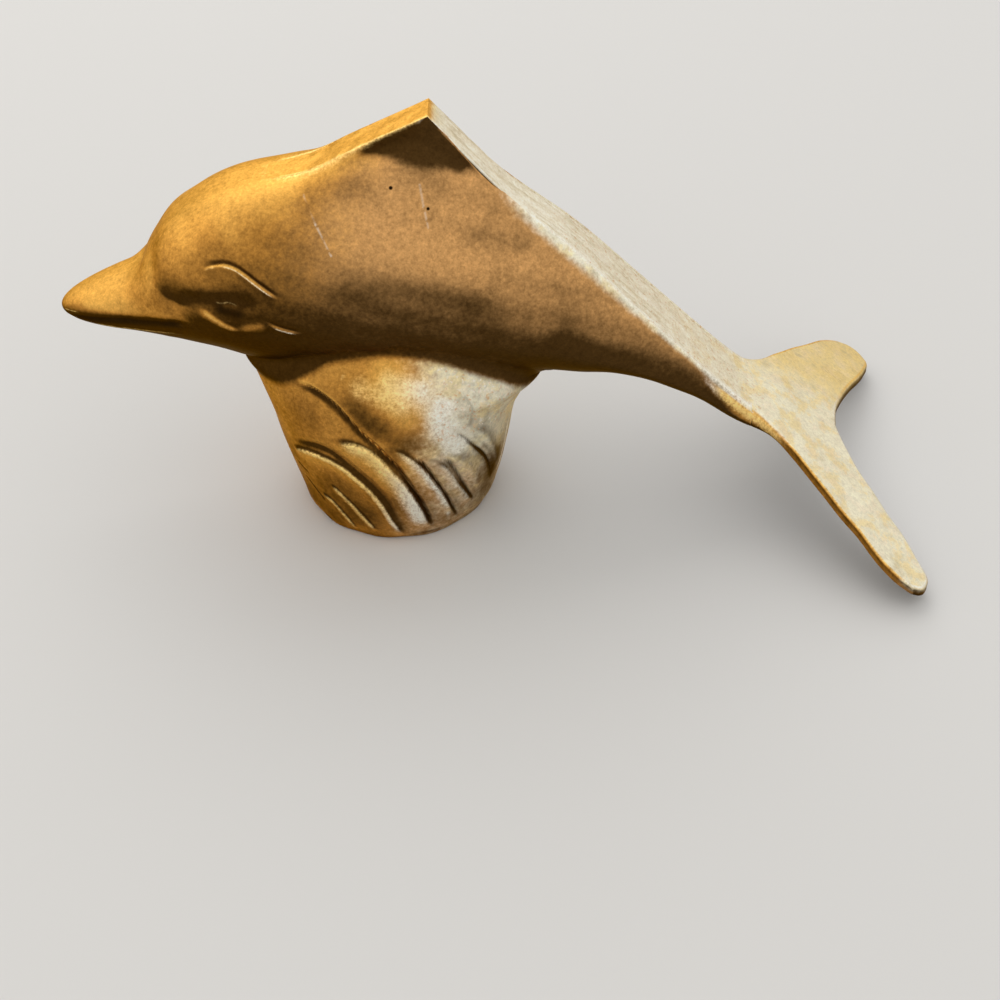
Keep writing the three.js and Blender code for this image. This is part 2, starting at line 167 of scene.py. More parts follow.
def stroke(a, b, path, height, left, right, fade):
    """The height of a line drawn on a surface at (a, b): a bell across the line, `left` wide on its
    left hand and `right` wide on its right, that swells from nothing over `fade` at both ends."""
    points, steps = np.array(path, float), 6
    run = np.append(0, np.cumsum(np.hypot(*np.diff(points, axis=0).T)))
    fine = np.interp(np.arange(len(run) * steps - steps + 1) / steps, np.arange(len(run)), run)
    line = np.stack([through(np.stack([run, points[:, k]], 1))(fine) for k in (0, 1)], 1)
    reach = 3 * max(left, right)
    low, high = line.min(0) - reach, line.max(0) + reach
    near = (a > low[0]) & (a < high[0]) & (b > low[1]) & (b < high[1])
    spot = np.stack([a[near], b[near]], 1)
    best = np.full(len(spot), np.inf)
    side, along = np.zeros(len(spot)), np.zeros(len(spot))
    for start, end, done in zip(line[:-1], line[1:], fine):
        step = end - start
        length = np.hypot(*step)
        t = np.clip((spot - start) @ step / length ** 2, 0, 1)
        off = spot - start - t[:, None] * step
        distance = np.hypot(*off.T)
        closer = distance < best
        best = np.where(closer, distance, best)
        side = np.where(closer, step[0] * off[:, 1] - step[1] * off[:, 0], side)
        along = np.where(closer, done + t * length, along)
    bell = np.exp(-(best / np.where(side > 0, left, right)) ** 2)
    result = np.zeros(a.shape)
    result[near] = height * bell * ease(0, fade, along) * ease(run[-1], run[-1] - fade, along)
    return result


def drawn(a, b, lines):
    """All the lines of a list, one added to the other."""
    return sum(stroke(a, b, *line) for line in lines)


# Each line of the carving, the painted highlights, the dark lines and the painted shade:
# its path as (x, height), how far it stands out or how strong it is, its width above
# and below, and the length of its two ends.
melon_crease = [(-33.4, 42.3), (-31.9, 42.1), (-30.6, 41.3), (-28.8, 40.7), (-26.5, 40.6), (-25.1, 40.6)]
brow = [(-24.8, 45.8), (-24, 46.4), (-23.1, 46.8), (-21.8, 47.1), (-20.6, 47), (-19.5, 46.6), (-17.8, 45.5),
        (-15.8, 44), (-14, 42.7)]
lower_lid = [(-25.8, 40.6), (-24.7, 40), (-23.5, 39), (-22.2, 38), (-20.9, 37.3), (-19.6, 37)]
cheek = [
    (-19.8, 37.3), (-18.3, 38.4), (-16.8, 39.1), (-16.2, 38.7), (-15.3, 38), (-14.2, 37.5), (-12.7, 37.1),
    (-11.2, 37)]
cheek_swell = [(-20.8, 36.8), (-18.8, 37.6), (-15.8, 38.2)]
mouth = [(-47.6, 33.3), (-45, 33.9), (-42, 34.5), (-38.5, 35.2), (-35.8, 35.7), (-32.8, 36.6), (-30.3, 37.1),
         (-28, 37)]
jaw = [(-43.9, 32.8), (-41.4, 32.8), (-38.5, 32.8), (-35.2, 33.3), (-32, 34), (-28.5, 34.5)]
beak_side = [
    (-45, 35.2), (-42.9, 35.7), (-39.7, 36), (-36.6, 36.2), (-33.4, 37.2), (-30.3, 37.8), (-26.5, 37.6)]
under_brow = [(-29, 41.6), (-25.2, 42), (-21.6, 42.3), (-18.7, 42), (-16.8, 41)]
eye_top = [(-23.6, 41.8), (-22.4, 41.7), (-21.2, 41.9), (-19.7, 41.3)]


def moved(path, by_x, by_z):
    """A drawn line, shifted."""
    return [(x + by_x, z + by_z) for x, z in path]


face_lines = [
    (melon_crease, -0.4, 2.2, 1.6, 4.5),
    (moved(brow, 0.15, 0.4), -0.26, 0.35, 0.2, 2.2),
    (brow, 0.11, 0.16, 0.6, 2.2),
    (moved(under_brow, 0, -0.1), -0.34, 1.3, 1.2, 2.6),
    ([(-22.6, 40.9), (-21, 41), (-19.6, 40.6)], 0.14, 0.8, 0.8, 1),
    (lower_lid, 0.15, 0.3, 1, 2),
    (cheek[2:], 0.16, 0.16, 0.9, 1.8),
    (moved(cheek[2:], 0.2, 0.4), -0.14, 0.4, 0.2, 1.8),
    (cheek_swell, 0.13, 0.6, 0.9, 1.6),
    (moved(mouth, 0.3, -0.4), -0.22, 0.6, 0.6, 1.5),
    (jaw, 0.1, 0.3, 0.3, 1.5),
]
painted_highlight_lines = [
    (brow[2:], 0.75, 0.12, 0.14, 2.5),
    (brow[:4], 0.45, 0.2, 0.2, 1.5),
    (lower_lid, 0.3, 0.2, 0.6, 1.8),
    (cheek[3:], 0.7, 0.12, 0.15, 2),
    (eye_top, 0.42, 0.2, 0.2, 0.8),
    (jaw, 0.5, 0.2, 0.2, 3),
    ([(-47.9, 33.6), (-46.6, 33.9), (-44.5, 34.3)], 0.5, 0.12, 0.16, 1),
]
dark_lines = [
    (moved(brow, 0.15, 0.42), 0.7, 0.16, 0.16, 2),
    ([(-24, 40.9), (-21.4, 40.5), (-18.6, 39.6)], 0.8, 0.9, 0.9, 1.6),
    (moved(cheek[2:], 0.3, 0.4), 0.35, 0.4, 0.2, 1.6),
    (moved(mouth, 0.3, -0.7), 0.75, 0.6, 0.9, 2.5),
]
shade_lines = [
    (melon_crease, 0.5, 1.2, 0.35, 3.5),
    ([(-33.2, 45.5), (-32.9, 43.5), (-33.1, 41.5), (-34.5, 38.5)], -0.25, 1.3, 1.3, 2),
    (beak_side, -0.5, 1.7, 0.6, 2.5),
    (under_brow, 0.55, 0.9, 1.2, 3.5),
    ([(-26.5, 39), (-23, 37), (-18, 36.3)], 0.3, 1, 1.6, 2),
    (lower_lid, -0.85, 0.35, 0.9, 1.8),
    (cheek_swell, -0.55, 0.7, 0.9, 1.5),
    ([(-22, 50.5), (-14, 51.8), (-5, 52)], 0.26, 3.8, 4.2, 6),
    ([(-27, 47), (-23.5, 49.5), (-20, 51.5)], 0.16, 2.2, 2.5, 3),
    ([(9.5, 50.8), (14, 49.3), (18, 47.8), (22, 46)], 0.3, 1.5, 1.1, 3.5),
    ([(-1, 50), (4, 49), (9, 47.2), (16, 44)], -0.14, 1.6, 1.8, 4),
    ([(24, 38), (36, 29.5), (48, 20.5)], -0.16, 3.5, 1.5, 6),
    ([(21, 33.6), (26, 31.8), (32, 29.2), (38, 26.8), (43, 24), (48, 20.8), (52, 18)], 0.44, 3.8, 4.5, 4),
    ([(-9, 44.6), (2, 44.3), (10, 42), (17, 38.5)], 0.24, 2.4, 2.2, 5),
    ([(-13, 54.8), (-6, 56), (1.5, 56.8)], 0.3, 1.5, 2, 4),
    ([(-8, 33.4), (-2, 32.9), (3, 32.5)], -0.3, 1.2, 2.5, 3),
    ([(-40, 31.6), (-31, 31), (-20, 29)], 0.25, 3, 3, 4),
]
flank_hollows = [
    ([(-4, 58.8), (1.5, 60.6), (5.5, 61.4), (9, 59.3), (13, 55.6)], -0.6, 1.3, 1.3, 3),
    ([(13.5, 51.8), (16.5, 50.2), (19, 48), (21.5, 45.6)], -0.35, 1.8, 1.8, 2.5),
]
recess_floor = through([(-3, 60.7), (1.4, 59.5), (4.7, 58.8), (8, 58.4), (11.5, 57.4)])
crack_line = [(9.2, 0), (11, 0.35), (13.2, 0.6), (15, 0.45), (16.8, 0)]
crack_width = 0.5
corner_round, root_reach = 0.3, 2.6
flank_unevenness, least_wide = 0.07, 0.9

# The shell's grid: close at the beak's tip, closest at the eye, and wider behind; and
# around it, turns from the ridge down to where the keel's shares take over.
tip_x = beak_tip_x + beak_length * np.linspace(0, 1, 44)[:-1] ** 2
shell_x = np.append(tip_x, graded([crease_x, -11, fin_x, 20, keel_bead[1]], [149, 49, 47, 75]))[:, None]
flank_turns = graded([0, 0.12, 0.9, 1.95], [8, 41, 83])
keel_shares = graded([0, 1], [41])[1:]


def ripple(a, b, seed, shortest=4.0, longest=16.0):
    """A gentle unevenness at (a, b), between about -1 and 1: nine sines in scattered directions, summed
    and divided by the root of their number."""
    pick, waves, total = np.random.default_rng(seed), 9, 0
    for _ in range(waves):
        heading, phase = pick.uniform(0, 2 * np.pi, 2)
        length = pick.uniform(shortest, longest)
        total = total + np.sin((a * np.cos(heading) + b * np.sin(heading)) * 2 * np.pi / length + phase)
    return total / waves ** 0.5


def outward(grid):
    """Unit normals of a grid of points, from the slopes along its rows and columns."""
    across, along = np.gradient(grid, axis=0), np.gradient(grid, axis=1)
    normal = np.cross(across, along)
    normal /= np.maximum(np.linalg.norm(normal, axis=-1, keepdims=True), 1e-9)
    return normal


def round_over(distance, radius):
    """How far a sharp corner sinks when it is rounded, at a distance from it along the surface."""
    return 0.3 * radius * np.clip(1 - distance / radius, 0, 1) ** 2


def root_marks(x, below):
    """How golden the side of the tail's root is, and how strong the painted highlight along it is,
    at x and at a depth below its top.
    """
    near = ease(44, 51, x)
    return near * ease(4, 2.2, below) * ease(0.2, 1, below), near * np.exp(-(below - 1.5) ** 2)


def smooth_skin(x, turn):
    """The skin with the corner at the beak's root worn away, least along the ridge: there each point
    is the mean of its neighbours along the body."""
    reach = root_reach * ease(2 * root_reach, root_reach, np.abs(x - crease_x))
    shifts = np.linspace(-1, 1, 13)
    mean = sum(body_skin(x + shift * reach, turn) for shift in shifts) / len(shifts)
    plain = body_skin(x, turn)
    return plain + (mean - plain) * ease(-0.4, 0.8, turn)[..., None]


def flank_grid(x, turns):
    """The outer skin of one side with its carving, and the marks that its colour follows: its painted
    light, which is lighter where it faces up and darker under painted shade, where it is darkened,
    how golden it is, and where it has painted highlights."""
    grid = smooth_skin(x, turns)
    normal = outward(grid)
    px, pz = grid[..., 0], grid[..., 2]
    carved, hollow = drawn(px, pz, face_lines), drawn(px, pz, flank_hollows)
    uneven = flank_unevenness * ripple(px, pz, 3) * ease(0, 0.5, turns) * ease(np.pi, 2.7, turns)
    uneven = uneven * ease(crease_x - 2, crease_x + 6, px) * ease(tail_root_x, tail_root_x - 6, px)
    from_edge = np.linalg.norm(grid - grid[:, :1], axis=-1)
    open_side = ease(0.2, 1.5, from_edge) * ease(np.pi, 2.8, turns)
    grid = grid + normal * ((carved + hollow + uneven) * open_side)[..., None]
    from_edge = np.linalg.norm(grid - grid[:, :1], axis=-1)
    crack = np.interp(x, *np.array(crack_line).T) * np.exp(-(from_edge / crack_width) ** 2)
    sink = round_over(from_edge, corner_round) * ease(strip_start_x, strip_start_x + 6, x)
    sink = sink * ease(x.max(), x.max() - 5, x)
    grid = grid - spread(0, 0.7 * sink, 0.7 * sink + crack)
    facing_up = outward(grid)[..., 2]
    facing_up[0] = facing_up[1]
    # Painted shade in the recess under the strip's lip beside the fin.
    recess_shade = ease(-1.1, 1, pz - recess_floor(px)) * ease(-5.5, 1, px) * ease(12.5, 10.5, px)
    recess_shade = recess_shade * (1 - ease(fin_x, fin_x + 2, x) * ease(0.9, 0.4, from_edge))
    bright, black, shade = [drawn(px, pz, lines) for lines in (painted_highlight_lines, dark_lines, shade_lines)]
    # Painted highlights along the corner below the strip's edge, in front of the fin and behind x = 15.
    front_highlight_width = 0.4 + 0.7 * ease(2, -8, x)
    front_corner_highlight = 0.8 * np.exp(-from_edge / front_highlight_width) * ease(-20, -10, x) * ease(fin_x, fin_x - 1, x)
    rear_corner_highlight = 0.9 * np.exp(-from_edge / 0.7) * ease(15, 22, x)
    root_gold, root_lit = root_marks(px, saddle(px) - pz)
    near_ridge = np.exp(-from_edge / 2.5) * ease(8, 4, px)
    # Painted light: lighter where the skin faces up and along the golden side of the tail's root, darker
    # under the painted shade lines and in the recess. The dark mark is dark patina in the carved lines and
    # the dark lines, and painted shade in the recess and the open crack. The golden tint at the front is
    # partly painted warm light.
    return grid, {"sky": facing_up - 0.85 * recess_shade - 0.9 * shade - 0.2 * black + 0.4 * root_gold,
                  "dark": np.clip(-0.5 * carved + 0.9 * black + 0.15 * recess_shade + 1.5 * crack, 0, 1),
                  "gold": np.clip(ease(4, -22, px) + near_ridge + root_gold - 0.5 * bright, 0, 1),
                  "lit": np.clip(bright + front_corner_highlight + rear_corner_highlight + 0.8 * root_lit, 0, 1)}


def cavity_half(x, count):
    """One half of the hollow inside at x, from its bottom to its top: half an oval, a wall's
    thickness inside the skin, that closes to a point at both of its rounded ends."""
    front, rear, end_round, shoulder_fill = crease_x + 2.5, tail_root_x - 10, 7, 3
    crown_z, _, low, wide, _, power = body_lines(x)[1:]
    top, bottom = crown_z - wall - shoulder_fill * (power - 1), low + wall
    nearness = np.clip(np.minimum(x - front, rear - x), 0, end_round) / end_round
    size = np.sqrt(1 - (1 - nearness) ** 2)
    turn = np.linspace(0, np.pi, count)
    y = np.maximum(wide - wall, 0) * size * np.sin(turn)
    z = (top + bottom) / 2 - (top - bottom) / 2 * size * np.cos(turn)
    return spread(x, y, z)


same_point = 1e-7
sharp_angle_deg = 38


def skin(name, grid, marks, caps=True, mirror=False):
    """A smooth mesh from a grid of points in millimetres, each row of which is a closed ring: a face
    for each four neighbours, and a fan on the first and last row. Each mark is a number for every
    point, which the material reads by name."""
    rows, columns = grid.shape[:2]
    place = np.arange(rows * columns).reshape(rows, columns)
    place = np.hstack([place, place[:, :1]])
    faces = np.stack([place[:-1, :-1], place[:-1, 1:], place[1:, 1:], place[1:, :-1]], -1)
    faces = faces.reshape(-1, 4).tolist()
    points = grid.reshape(-1, 3)
    values = {key: value.reshape(-1) for key, value in marks.items()}
    if caps:
        for row in (0, rows - 1):
            ring, middle = place[row], len(points)
            points = np.vstack([points, points[ring].mean(0)])
            values = {key: np.append(value, value[ring].mean()) for key, value in values.items()}
            faces += spread(ring[:-1], ring[1:], middle).tolist()
    mesh = bpy.data.meshes.new(name)
    mesh.from_pydata((points * [1, -1 if mirror else 1, 1] * MM).tolist(), [], faces)
    for key, value in values.items():
        mesh.attributes.new(key, "FLOAT", "POINT").data.foreach_set("value", value.astype(np.float32))
    work = bmesh.new()
    work.from_mesh(mesh)
    bmesh.ops.remove_doubles(work, verts=work.verts, dist=same_point)
    bmesh.ops.dissolve_degenerate(work, edges=work.edges, dist=same_point / 10)
    bmesh.ops.recalc_face_normals(work, faces=work.faces)
    work.to_mesh(mesh)
    work.free()
    mesh.shade_smooth()
    mesh.set_sharp_from_angle(angle=np.radians(sharp_angle_deg))
    piece = bpy.data.objects.new(name, mesh)
    bpy.context.scene.collection.objects.link(piece)
    return piece


def shell(name, mirror):
    """Half of the hollow body as a C carried along its length: the rebate for the strip, the flank,
    the groove for the bead under it, and back up the joint face and around the hollow."""
    x = shell_x
    wide = np.maximum(body_lines(x)[4], least_wide)
    beads = (x > chin_bead[0]) & (x < chin_bead[1] + bead_play) | (x > keel_bead[0] - bead_play)
    keel = np.pi - np.arcsin(bead_half_width / wide) * beads
    turns = np.hstack([np.repeat(flank_turns[None, :], len(x), 0),
                       flank_turns[-1] + (keel - flank_turns[-1]) * keel_shares])
    outer, marks = flank_grid(x, turns)
    depth = strip_thickness * ease(strip_start_x, strip_start_x + 4, x)
    down = np.linspace(1, 0, 4)[:-1]
    edge, foot = outer[:, :1], outer[:, -1:]
    floor_y = edge[..., 1] * np.linspace(0, 1, 5)[:-1]
    rebate = spread(x, floor_y, edge[..., 2] - depth)
    side = edge - spread(0, 0, depth * down)
    groove = foot + spread(0, 0, bead_depth * beads)
    seam = groove * [1, 0, 1]
    hollow = cavity_half(x, 26)
    grid = np.concatenate([rebate, side, outer, groove, seam, hollow], 1)
    before = rebate.shape[1] + side.shape[1]
    after = grid.shape[1] - outer.shape[1] - before
    marks = {key: np.pad(value, ((0, 0), (before, after)), mode="edge") for key, value in marks.items()}
    pale_reach = 2.2 + 2 * ease(40, 28, x)
    marks["pale"] = ease(1, 0, np.linalg.norm(grid - edge, axis=-1) / pale_reach)
    marks["pale"] = marks["pale"] * ease(12, 24, x) * ease(55, 48, x)
    marks["speckle"] = marks["pale"]
    return skin(name, grid, marks, mirror=mirror)


class Number:
    """A number inside a material. An expression on it adds the Math nodes that it needs."""

    def __init__(self, look, socket):
        self.look, self.socket = look, socket

    def math(self, operation, first, second):
        node = self.look.node("ShaderNodeMath", {"operation": operation}, {0: first, 1: second})
        return Number(self.look, node.outputs[0])

    def __add__(self, other):
        return self.math("ADD", self, other)

    def __sub__(self, other):
        return self.math("SUBTRACT", self, other)

    def __rsub__(self, other):
        return self.math("SUBTRACT", other, self)

    def __mul__(self, other):
        return self.math("MULTIPLY", self, other)

    __radd__, __rmul__ = __add__, __mul__

    def step(self, low, high):
        """0 at low and 1 at high, with a smooth S between them."""
        settings = {"interpolation_type": "SMOOTHSTEP"}
        node = self.look.node("ShaderNodeMapRange", settings, {0: self, 1: low, 2: high})
        return Number(self.look, node.outputs[0])


class Look:
    """One material, with the one way in which its nodes are added."""

    def __init__(self, name):
        self.material = bpy.data.materials.new(name)
        self.material.use_nodes = True
        self.tree = self.material.node_tree
        self.surface = self.tree.nodes["Principled BSDF"]
        self.place = self.node("ShaderNodeTexCoord", {}, {}).outputs["Object"]

    def node(self, kind, settings, inputs):
        """Adds a node: its settings first, then the value or the link of each socket."""
        node = self.tree.nodes.new(kind)
        for key, value in settings.items():
            setattr(node, key, value)
        for key, value in inputs.items():
            self.feed(node.inputs[key], value)
        return node

    def feed(self, socket, value):
        """Links a socket, or sets its own value."""
        if isinstance(value, Number):
            value = value.socket
        if isinstance(value, bpy.types.NodeSocket):
            self.tree.links.new(value, socket)
        elif socket.type == "RGBA" and len(value) == 3:
            socket.default_value = (*value, 1)
        else:
            socket.default_value = value

    def mark(self, name):
        """A number that the mesh carries for each of its points."""
        return Number(self, self.node("ShaderNodeAttribute", {"attribute_name": name}, {}).outputs["Fac"])

    def vector(self, operation, *inputs):
        node = self.node("ShaderNodeVectorMath", {"operation": operation}, dict(enumerate(inputs)))
        return node.outputs["Value" if operation in ("LENGTH", "DOT_PRODUCT") else "Vector"]

    def cloud(self, size_mm, detail=3, stretch=None):
        """Soft noise with features of about a size in millimetres, from 0 to 1. A small stretch along
        an axis draws the features out along it."""
        place = self.place if stretch is None else self.vector("MULTIPLY", self.place, stretch)
        inputs = {"Vector": place, "Scale": 1 / (size_mm * MM), "Detail": detail, "Roughness": 0.55}
        return Number(self, self.node("ShaderNodeTexNoise", {}, inputs).outputs["Fac"])

    def from_line(self, start_mm, end_mm):
        """The distance in millimetres from a straight line between two places."""
        start, run = np.array(start_mm) * MM, (np.array(end_mm) - start_mm) * MM
        away = self.vector("SUBTRACT", self.place, tuple(start))
        share = self.vector("DOT_PRODUCT", away, tuple(run / max(run @ run, 1e-12)))
        share = self.node("ShaderNodeClamp", {}, {0: share}).outputs[0]
        along = self.vector("SCALE", tuple(run))
        self.feed(along.node.inputs["Scale"], share)
        return Number(self, self.vector("LENGTH", self.vector("SUBTRACT", away, along))) * (1 / MM)

    def mix(self, factor, first, second, blend="MIX"):
        """One colour laid over another by a factor."""
        settings = {"data_type": "RGBA", "blend_type": blend}
        return self.node("ShaderNodeMix", settings, {0: factor, 6: first, 7: second}).outputs[2]


# Brass colours. The amber colour is golden brass in painted shade. The deep and the head colours are patina
# brown under painted shade. The rubbed colours serve for worn places and for painted highlights, and the
# black for patina in the hollows and for painted shade.
brown_brass = (0.70, 0.375, 0.135)
golden_brass = (0.80, 0.435, 0.092)
shaded_golden_brass = (0.60, 0.275, 0.050)
straw_brass = (0.95, 0.77, 0.39)
silvery_brass = (0.95, 0.90, 0.71)
rosy_brass = (0.93, 0.78, 0.60)
olive_brass = (0.68, 0.60, 0.38)
rubbed_and_highlight_gold = (1.0, 0.68, 0.24)
rubbed_and_highlight_pale = (1.0, 0.96, 0.84)
deep_shade_and_patina = (0.080, 0.040, 0.011)
head_shade_and_patina = (0.060, 0.027, 0.005)
black_patina_and_shade = (0.018, 0.009, 0.003)
bare_speck = (1.0, 0.95, 0.88)
gloss_tint = (0.72, 0.55, 0.34)
pits = [((1.4, -5.7, 56.2), 0.36), ((6.4, -6.9, 53.7), 0.3)]
scratch_width = 0.26
scratches = [((-10.4, -6, 55.3), (-8.7, -9, 52.5), 0.2), ((-8.7, -9, 52.5), (-6.7, -11.2, 49), 0.36),
             ((5.3, -5.4, 56.5), (5.8, -6.8, 53.9), 0.2), ((5.8, -6.8, 53.9), (6.4, -8.2, 51.5), 0.24)]


def brass(name):
    """Brass with a brown patina and painted light. Painted shade makes it deep brown where it faces
    down and under the shade lines, and black in the hollows, partly patina and partly painted shade;
    it is thin where it is golden or pale, and painted highlights and worn places make it bright.
    Clouds of several sizes break every border up, and streaks run along the strip."""
    look = Look(name)
    broad, patch, middle, fine, grain = [look.cloud(size) for size in (9, 3.2, 1.3, 0.6, 0.28)]
    fibres = look.cloud(0.7, 4, stretch=(0.1, 1, 0.1))
    keys = ("sky", "gold", "dark", "lit", "pale", "speckle", "streaks")
    sky, gold, dark, lit, pale, speckle, streaks = map(look.mark, keys)
    mottle = (broad - 0.5) * 0.5 + (patch - 0.5) * 0.4 + (middle - 0.5) * 0.5 + (fine - 0.5) * 0.5
    # Painted light: golden brass goes from its copy in painted shade to its lit copy as the painted light
    # mark rises.
    golden = look.mix((sky + mottle * 0.2).step(0.3, 0.95), shaded_golden_brass, golden_brass)
    colour = look.mix((gold + mottle * 0.5).step(0.0, 1.0), brown_brass, golden)
    pale_colour = look.mix((gold + mottle * 0.9).step(0.1, 1.0), silvery_brass, straw_brass)
    ragged = (fine - 0.5) * 0.25
    straw = (patch + ragged).step(0.48, 0.62) * 0.6 * (1.0 - streaks * 0.7)
    rosy = (look.cloud(2.4) + ragged).step(0.5, 0.64) * 0.3
    olive = look.cloud(4.5, 4).step(0.42, 0.3) * 0.5
    for patches, patch_colour in ((straw, straw_brass), (rosy, rosy_brass), (olive, olive_brass)):
        pale_colour = look.mix(patches, pale_colour, patch_colour)
    colour = look.mix((pale + mottle * 0.8).step(0.2, 0.9), colour, pale_colour)
    # Painted shade: where the painted light mark is low, the colour falls to dark patina brown.
    patina = look.mix(gold, deep_shade_and_patina, head_shade_and_patina)
    colour = look.mix((sky + mottle * 0.4).step(-0.2, 0.72), patina, colour)
    # Painted highlights and worn places: the lit mark and the strip's streaks bring in the bright colours.
    rubbed_and_highlight_colour = look.mix(gold.step(0.3, 0.9), rubbed_and_highlight_pale, rubbed_and_highlight_gold)
    highlight_and_wear = lit * (0.2 + (grain + fine) * 0.8) + mottle * 0.3 + streaks * (fibres - 0.5) * 1.4
    colour = look.mix(highlight_and_wear.step(0.15, 0.9), colour, rubbed_and_highlight_colour)
    # The dark mark: black patina in the carved hollows, and painted shade in the recess, the crack, under the
    # parts and at the foot.
    colour = look.mix((dark + mottle * 0.4).step(0.1, 0.95) * 0.92, colour, black_patina_and_shade)
    shading = (grain + fine - 1.0) * 1.2 + (middle - 0.5) * 0.8
    shading = shading * (1.0 - pale * 0.45) + 0.5
    shading = look.mix(shading, (0.70, 0.68, 0.65), (1.26, 1.28, 1.30))
    shading = look.mix(streaks * fibres.step(0.5, 0.35) * 0.3, shading, (0.6, 0.58, 0.55))
    colour = look.mix(1.0, colour, shading, "MULTIPLY")
    spots = (look.cloud(0.5) + (speckle - 1.0) * 0.5).step(0.53, 0.66)
    colour = look.mix(spots * 0.6, colour, look.mix(middle.step(0.42, 0.58), brown_brass, bare_speck))
    for place, radius in pits:
        colour = look.mix(look.from_line(place, place).step(radius, 0.5 * radius), colour, black_patina_and_shade)
    for start, end, strength in scratches:
        near = look.from_line(start, end).step(scratch_width, 0.05) * fine.step(0.35, 0.55)
        colour = look.mix(near * strength, colour, rubbed_and_highlight_pale)
    heights = grain * 0.4 + fine * 0.6 + look.cloud(0.9) * 0.9 + streaks * fibres * 0.8
    bump = look.node("ShaderNodeBump", {}, {"Strength": 0.35, "Distance": 0.1 * MM, "Height": heights})
    roughness = 0.46 + dark * 0.1 + (middle - 0.5) * 0.2 - lit * 0.08
    surface = {"Base Color": colour, "Metallic": 1.0, "Specular Tint": gloss_tint,
               "Roughness": roughness, "Normal": bump.outputs[0]}
    for key, value in surface.items():
        look.feed(look.surface.inputs[key], value)
    return look.material


def stand_in(piece, node, look):
    """Gives a piece its material and lets it take the place of a part of the model."""
    piece.data.materials.append(look)
    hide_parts(node)
    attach(piece, "root")


cast_brass = brass("cast_brass")
for side, mirrored in (("left", True), ("right", False)):
    stand_in(shell(f"body_{side}_half", mirrored), f"body_{side}_shell", cast_brass)


# The back strip: a strip of paler brass, laid in a rebate along the ridge from the head
# over the fin to the tail, rubbed flat with the skin. Its edge stands free of the casting
# for a short way behind the fin, where the joint has opened.
strip_end_x = keel_bead[1]
strip_thinnest, strip_crest, strip_unevenness = 0.02, 0.1, 0.05
edge_round_front, edge_round_rear = 0.25, 0.6


def strip_grid(x, count):
    """The strip at each x as a closed ring: across its top, which sinks to both sides with the
    square of the distance, over a rounded edge, and back along its flat underside."""
    ridge, flat = body_lines(x)[0], body_lines(x)[5]
    across = np.linspace(-1, 1, count)
    across = np.sign(across) * (1 - (1 - np.abs(across)) ** 1.5)
    y = flat * across
    crest = strip_crest * ease(fin_x + 2, fin_x + 14, x)
    edge = (1 - np.abs(across)) * flat
    rounding = edge_round_front + (edge_round_rear - edge_round_front) * ease(17, 24, x)
    settled = ease(strip_start_x, strip_start_x + 8, x)
    uneven = strip_unevenness * (1 + ripple(x, y, 5, shortest=2, longest=7))
    uneven = uneven * ease(0, 3, np.abs(x - fin_x))
    uneven = uneven + crest * across ** 2 + round_over(edge, rounding)
    top = ridge - uneven * settled * ease(strip_end_x, strip_end_x - 5, x)
    slope = np.gradient(ridge[:, 0], x[:, 0])[:, None]
    depth = strip_thickness * np.hypot(1, slope) * ease(strip_start_x, strip_start_x + 4, x)
    lower = ridge - np.maximum(depth, np.maximum(ridge - top[:, :1], 0) + strip_thinnest)
    side = lower + (top[:, -1:] - lower) * np.array([0.7, 0.35])
    bottom_y = y[:, ::-4]
    ring_y = np.concatenate([y, y[:, -1:] + 0 * side, bottom_y, y[:, :1] + 0 * side], 1)
    ring_z = np.concatenate([top, side, lower + 0 * bottom_y, side[:, ::-1]], 1)
    return spread(x, ring_y, ring_z), edge


strip_x = graded([strip_start_x, fin_x, strip_end_x], [119, 229])[:, None]
grid, edge = strip_grid(strip_x, 41)
below_top = ((0, 0), (0, grid.shape[1] - edge.shape[1]))
# Painted highlights along the strip's edges and a painted sheen on its rear part; painted shade on its
# underside. The strip is golden in front and pale behind, partly painted warm and cool light.
strip_edge_highlight = np.exp(-edge / (0.4 + 0.8 * ease(15, 22, strip_x))) * ease(-19, -10, strip_x)
strip_edge_highlight = strip_edge_highlight * (0.75 + 0.25 * ease(20, 30, strip_x))
strip_sheen = 0.6 * ease(6.5, 9, strip_x) * ease(85, 35, strip_x)
under = np.pad(0 * edge, below_top, constant_values=1.0)
place_x = grid[..., 0]
marks = {"sky": 0.95 - 0.9 * under,
         "lit": np.pad(np.maximum(strip_edge_highlight, strip_sheen), below_top),
         "dark": 0.5 * under,
         "gold": ease(9, 5.5, place_x),
         "pale": ease(6, 8, place_x),
         "speckle": 0.95 * ease(15, 26, place_x),
         "streaks": ease(6, 9, place_x) * ease(50, 35, place_x)}
worn_brass = brass("worn_brass")
stand_in(skin("strip", grid, marks), "back_strip", worn_brass)


# The brazed joints: beads of yellow brazing metal, filed flush, close the seam under the
# chin and under the tail stock, and a ring of it joins the tail casting on.
bead_gap, bead_lift, bead_arch = 0.04, 0.03, 0.05
ring_top_count = 9


def bead_grid(x):
    """A bead in its groove as a closed ring: flat sides and bottom and a low arched face."""
    low = body_lines(x)[3]
    share = np.linspace(-1, 1, 9)
    face = low - bead_arch * (1 - share ** 2)
    bottom = low + bead_depth - bead_lift + 0 * share[::-2]
    y = (bead_half_width - bead_gap) * np.append(share, share[::-2])
    return spread(x, y, np.concatenate([face, bottom], 1))


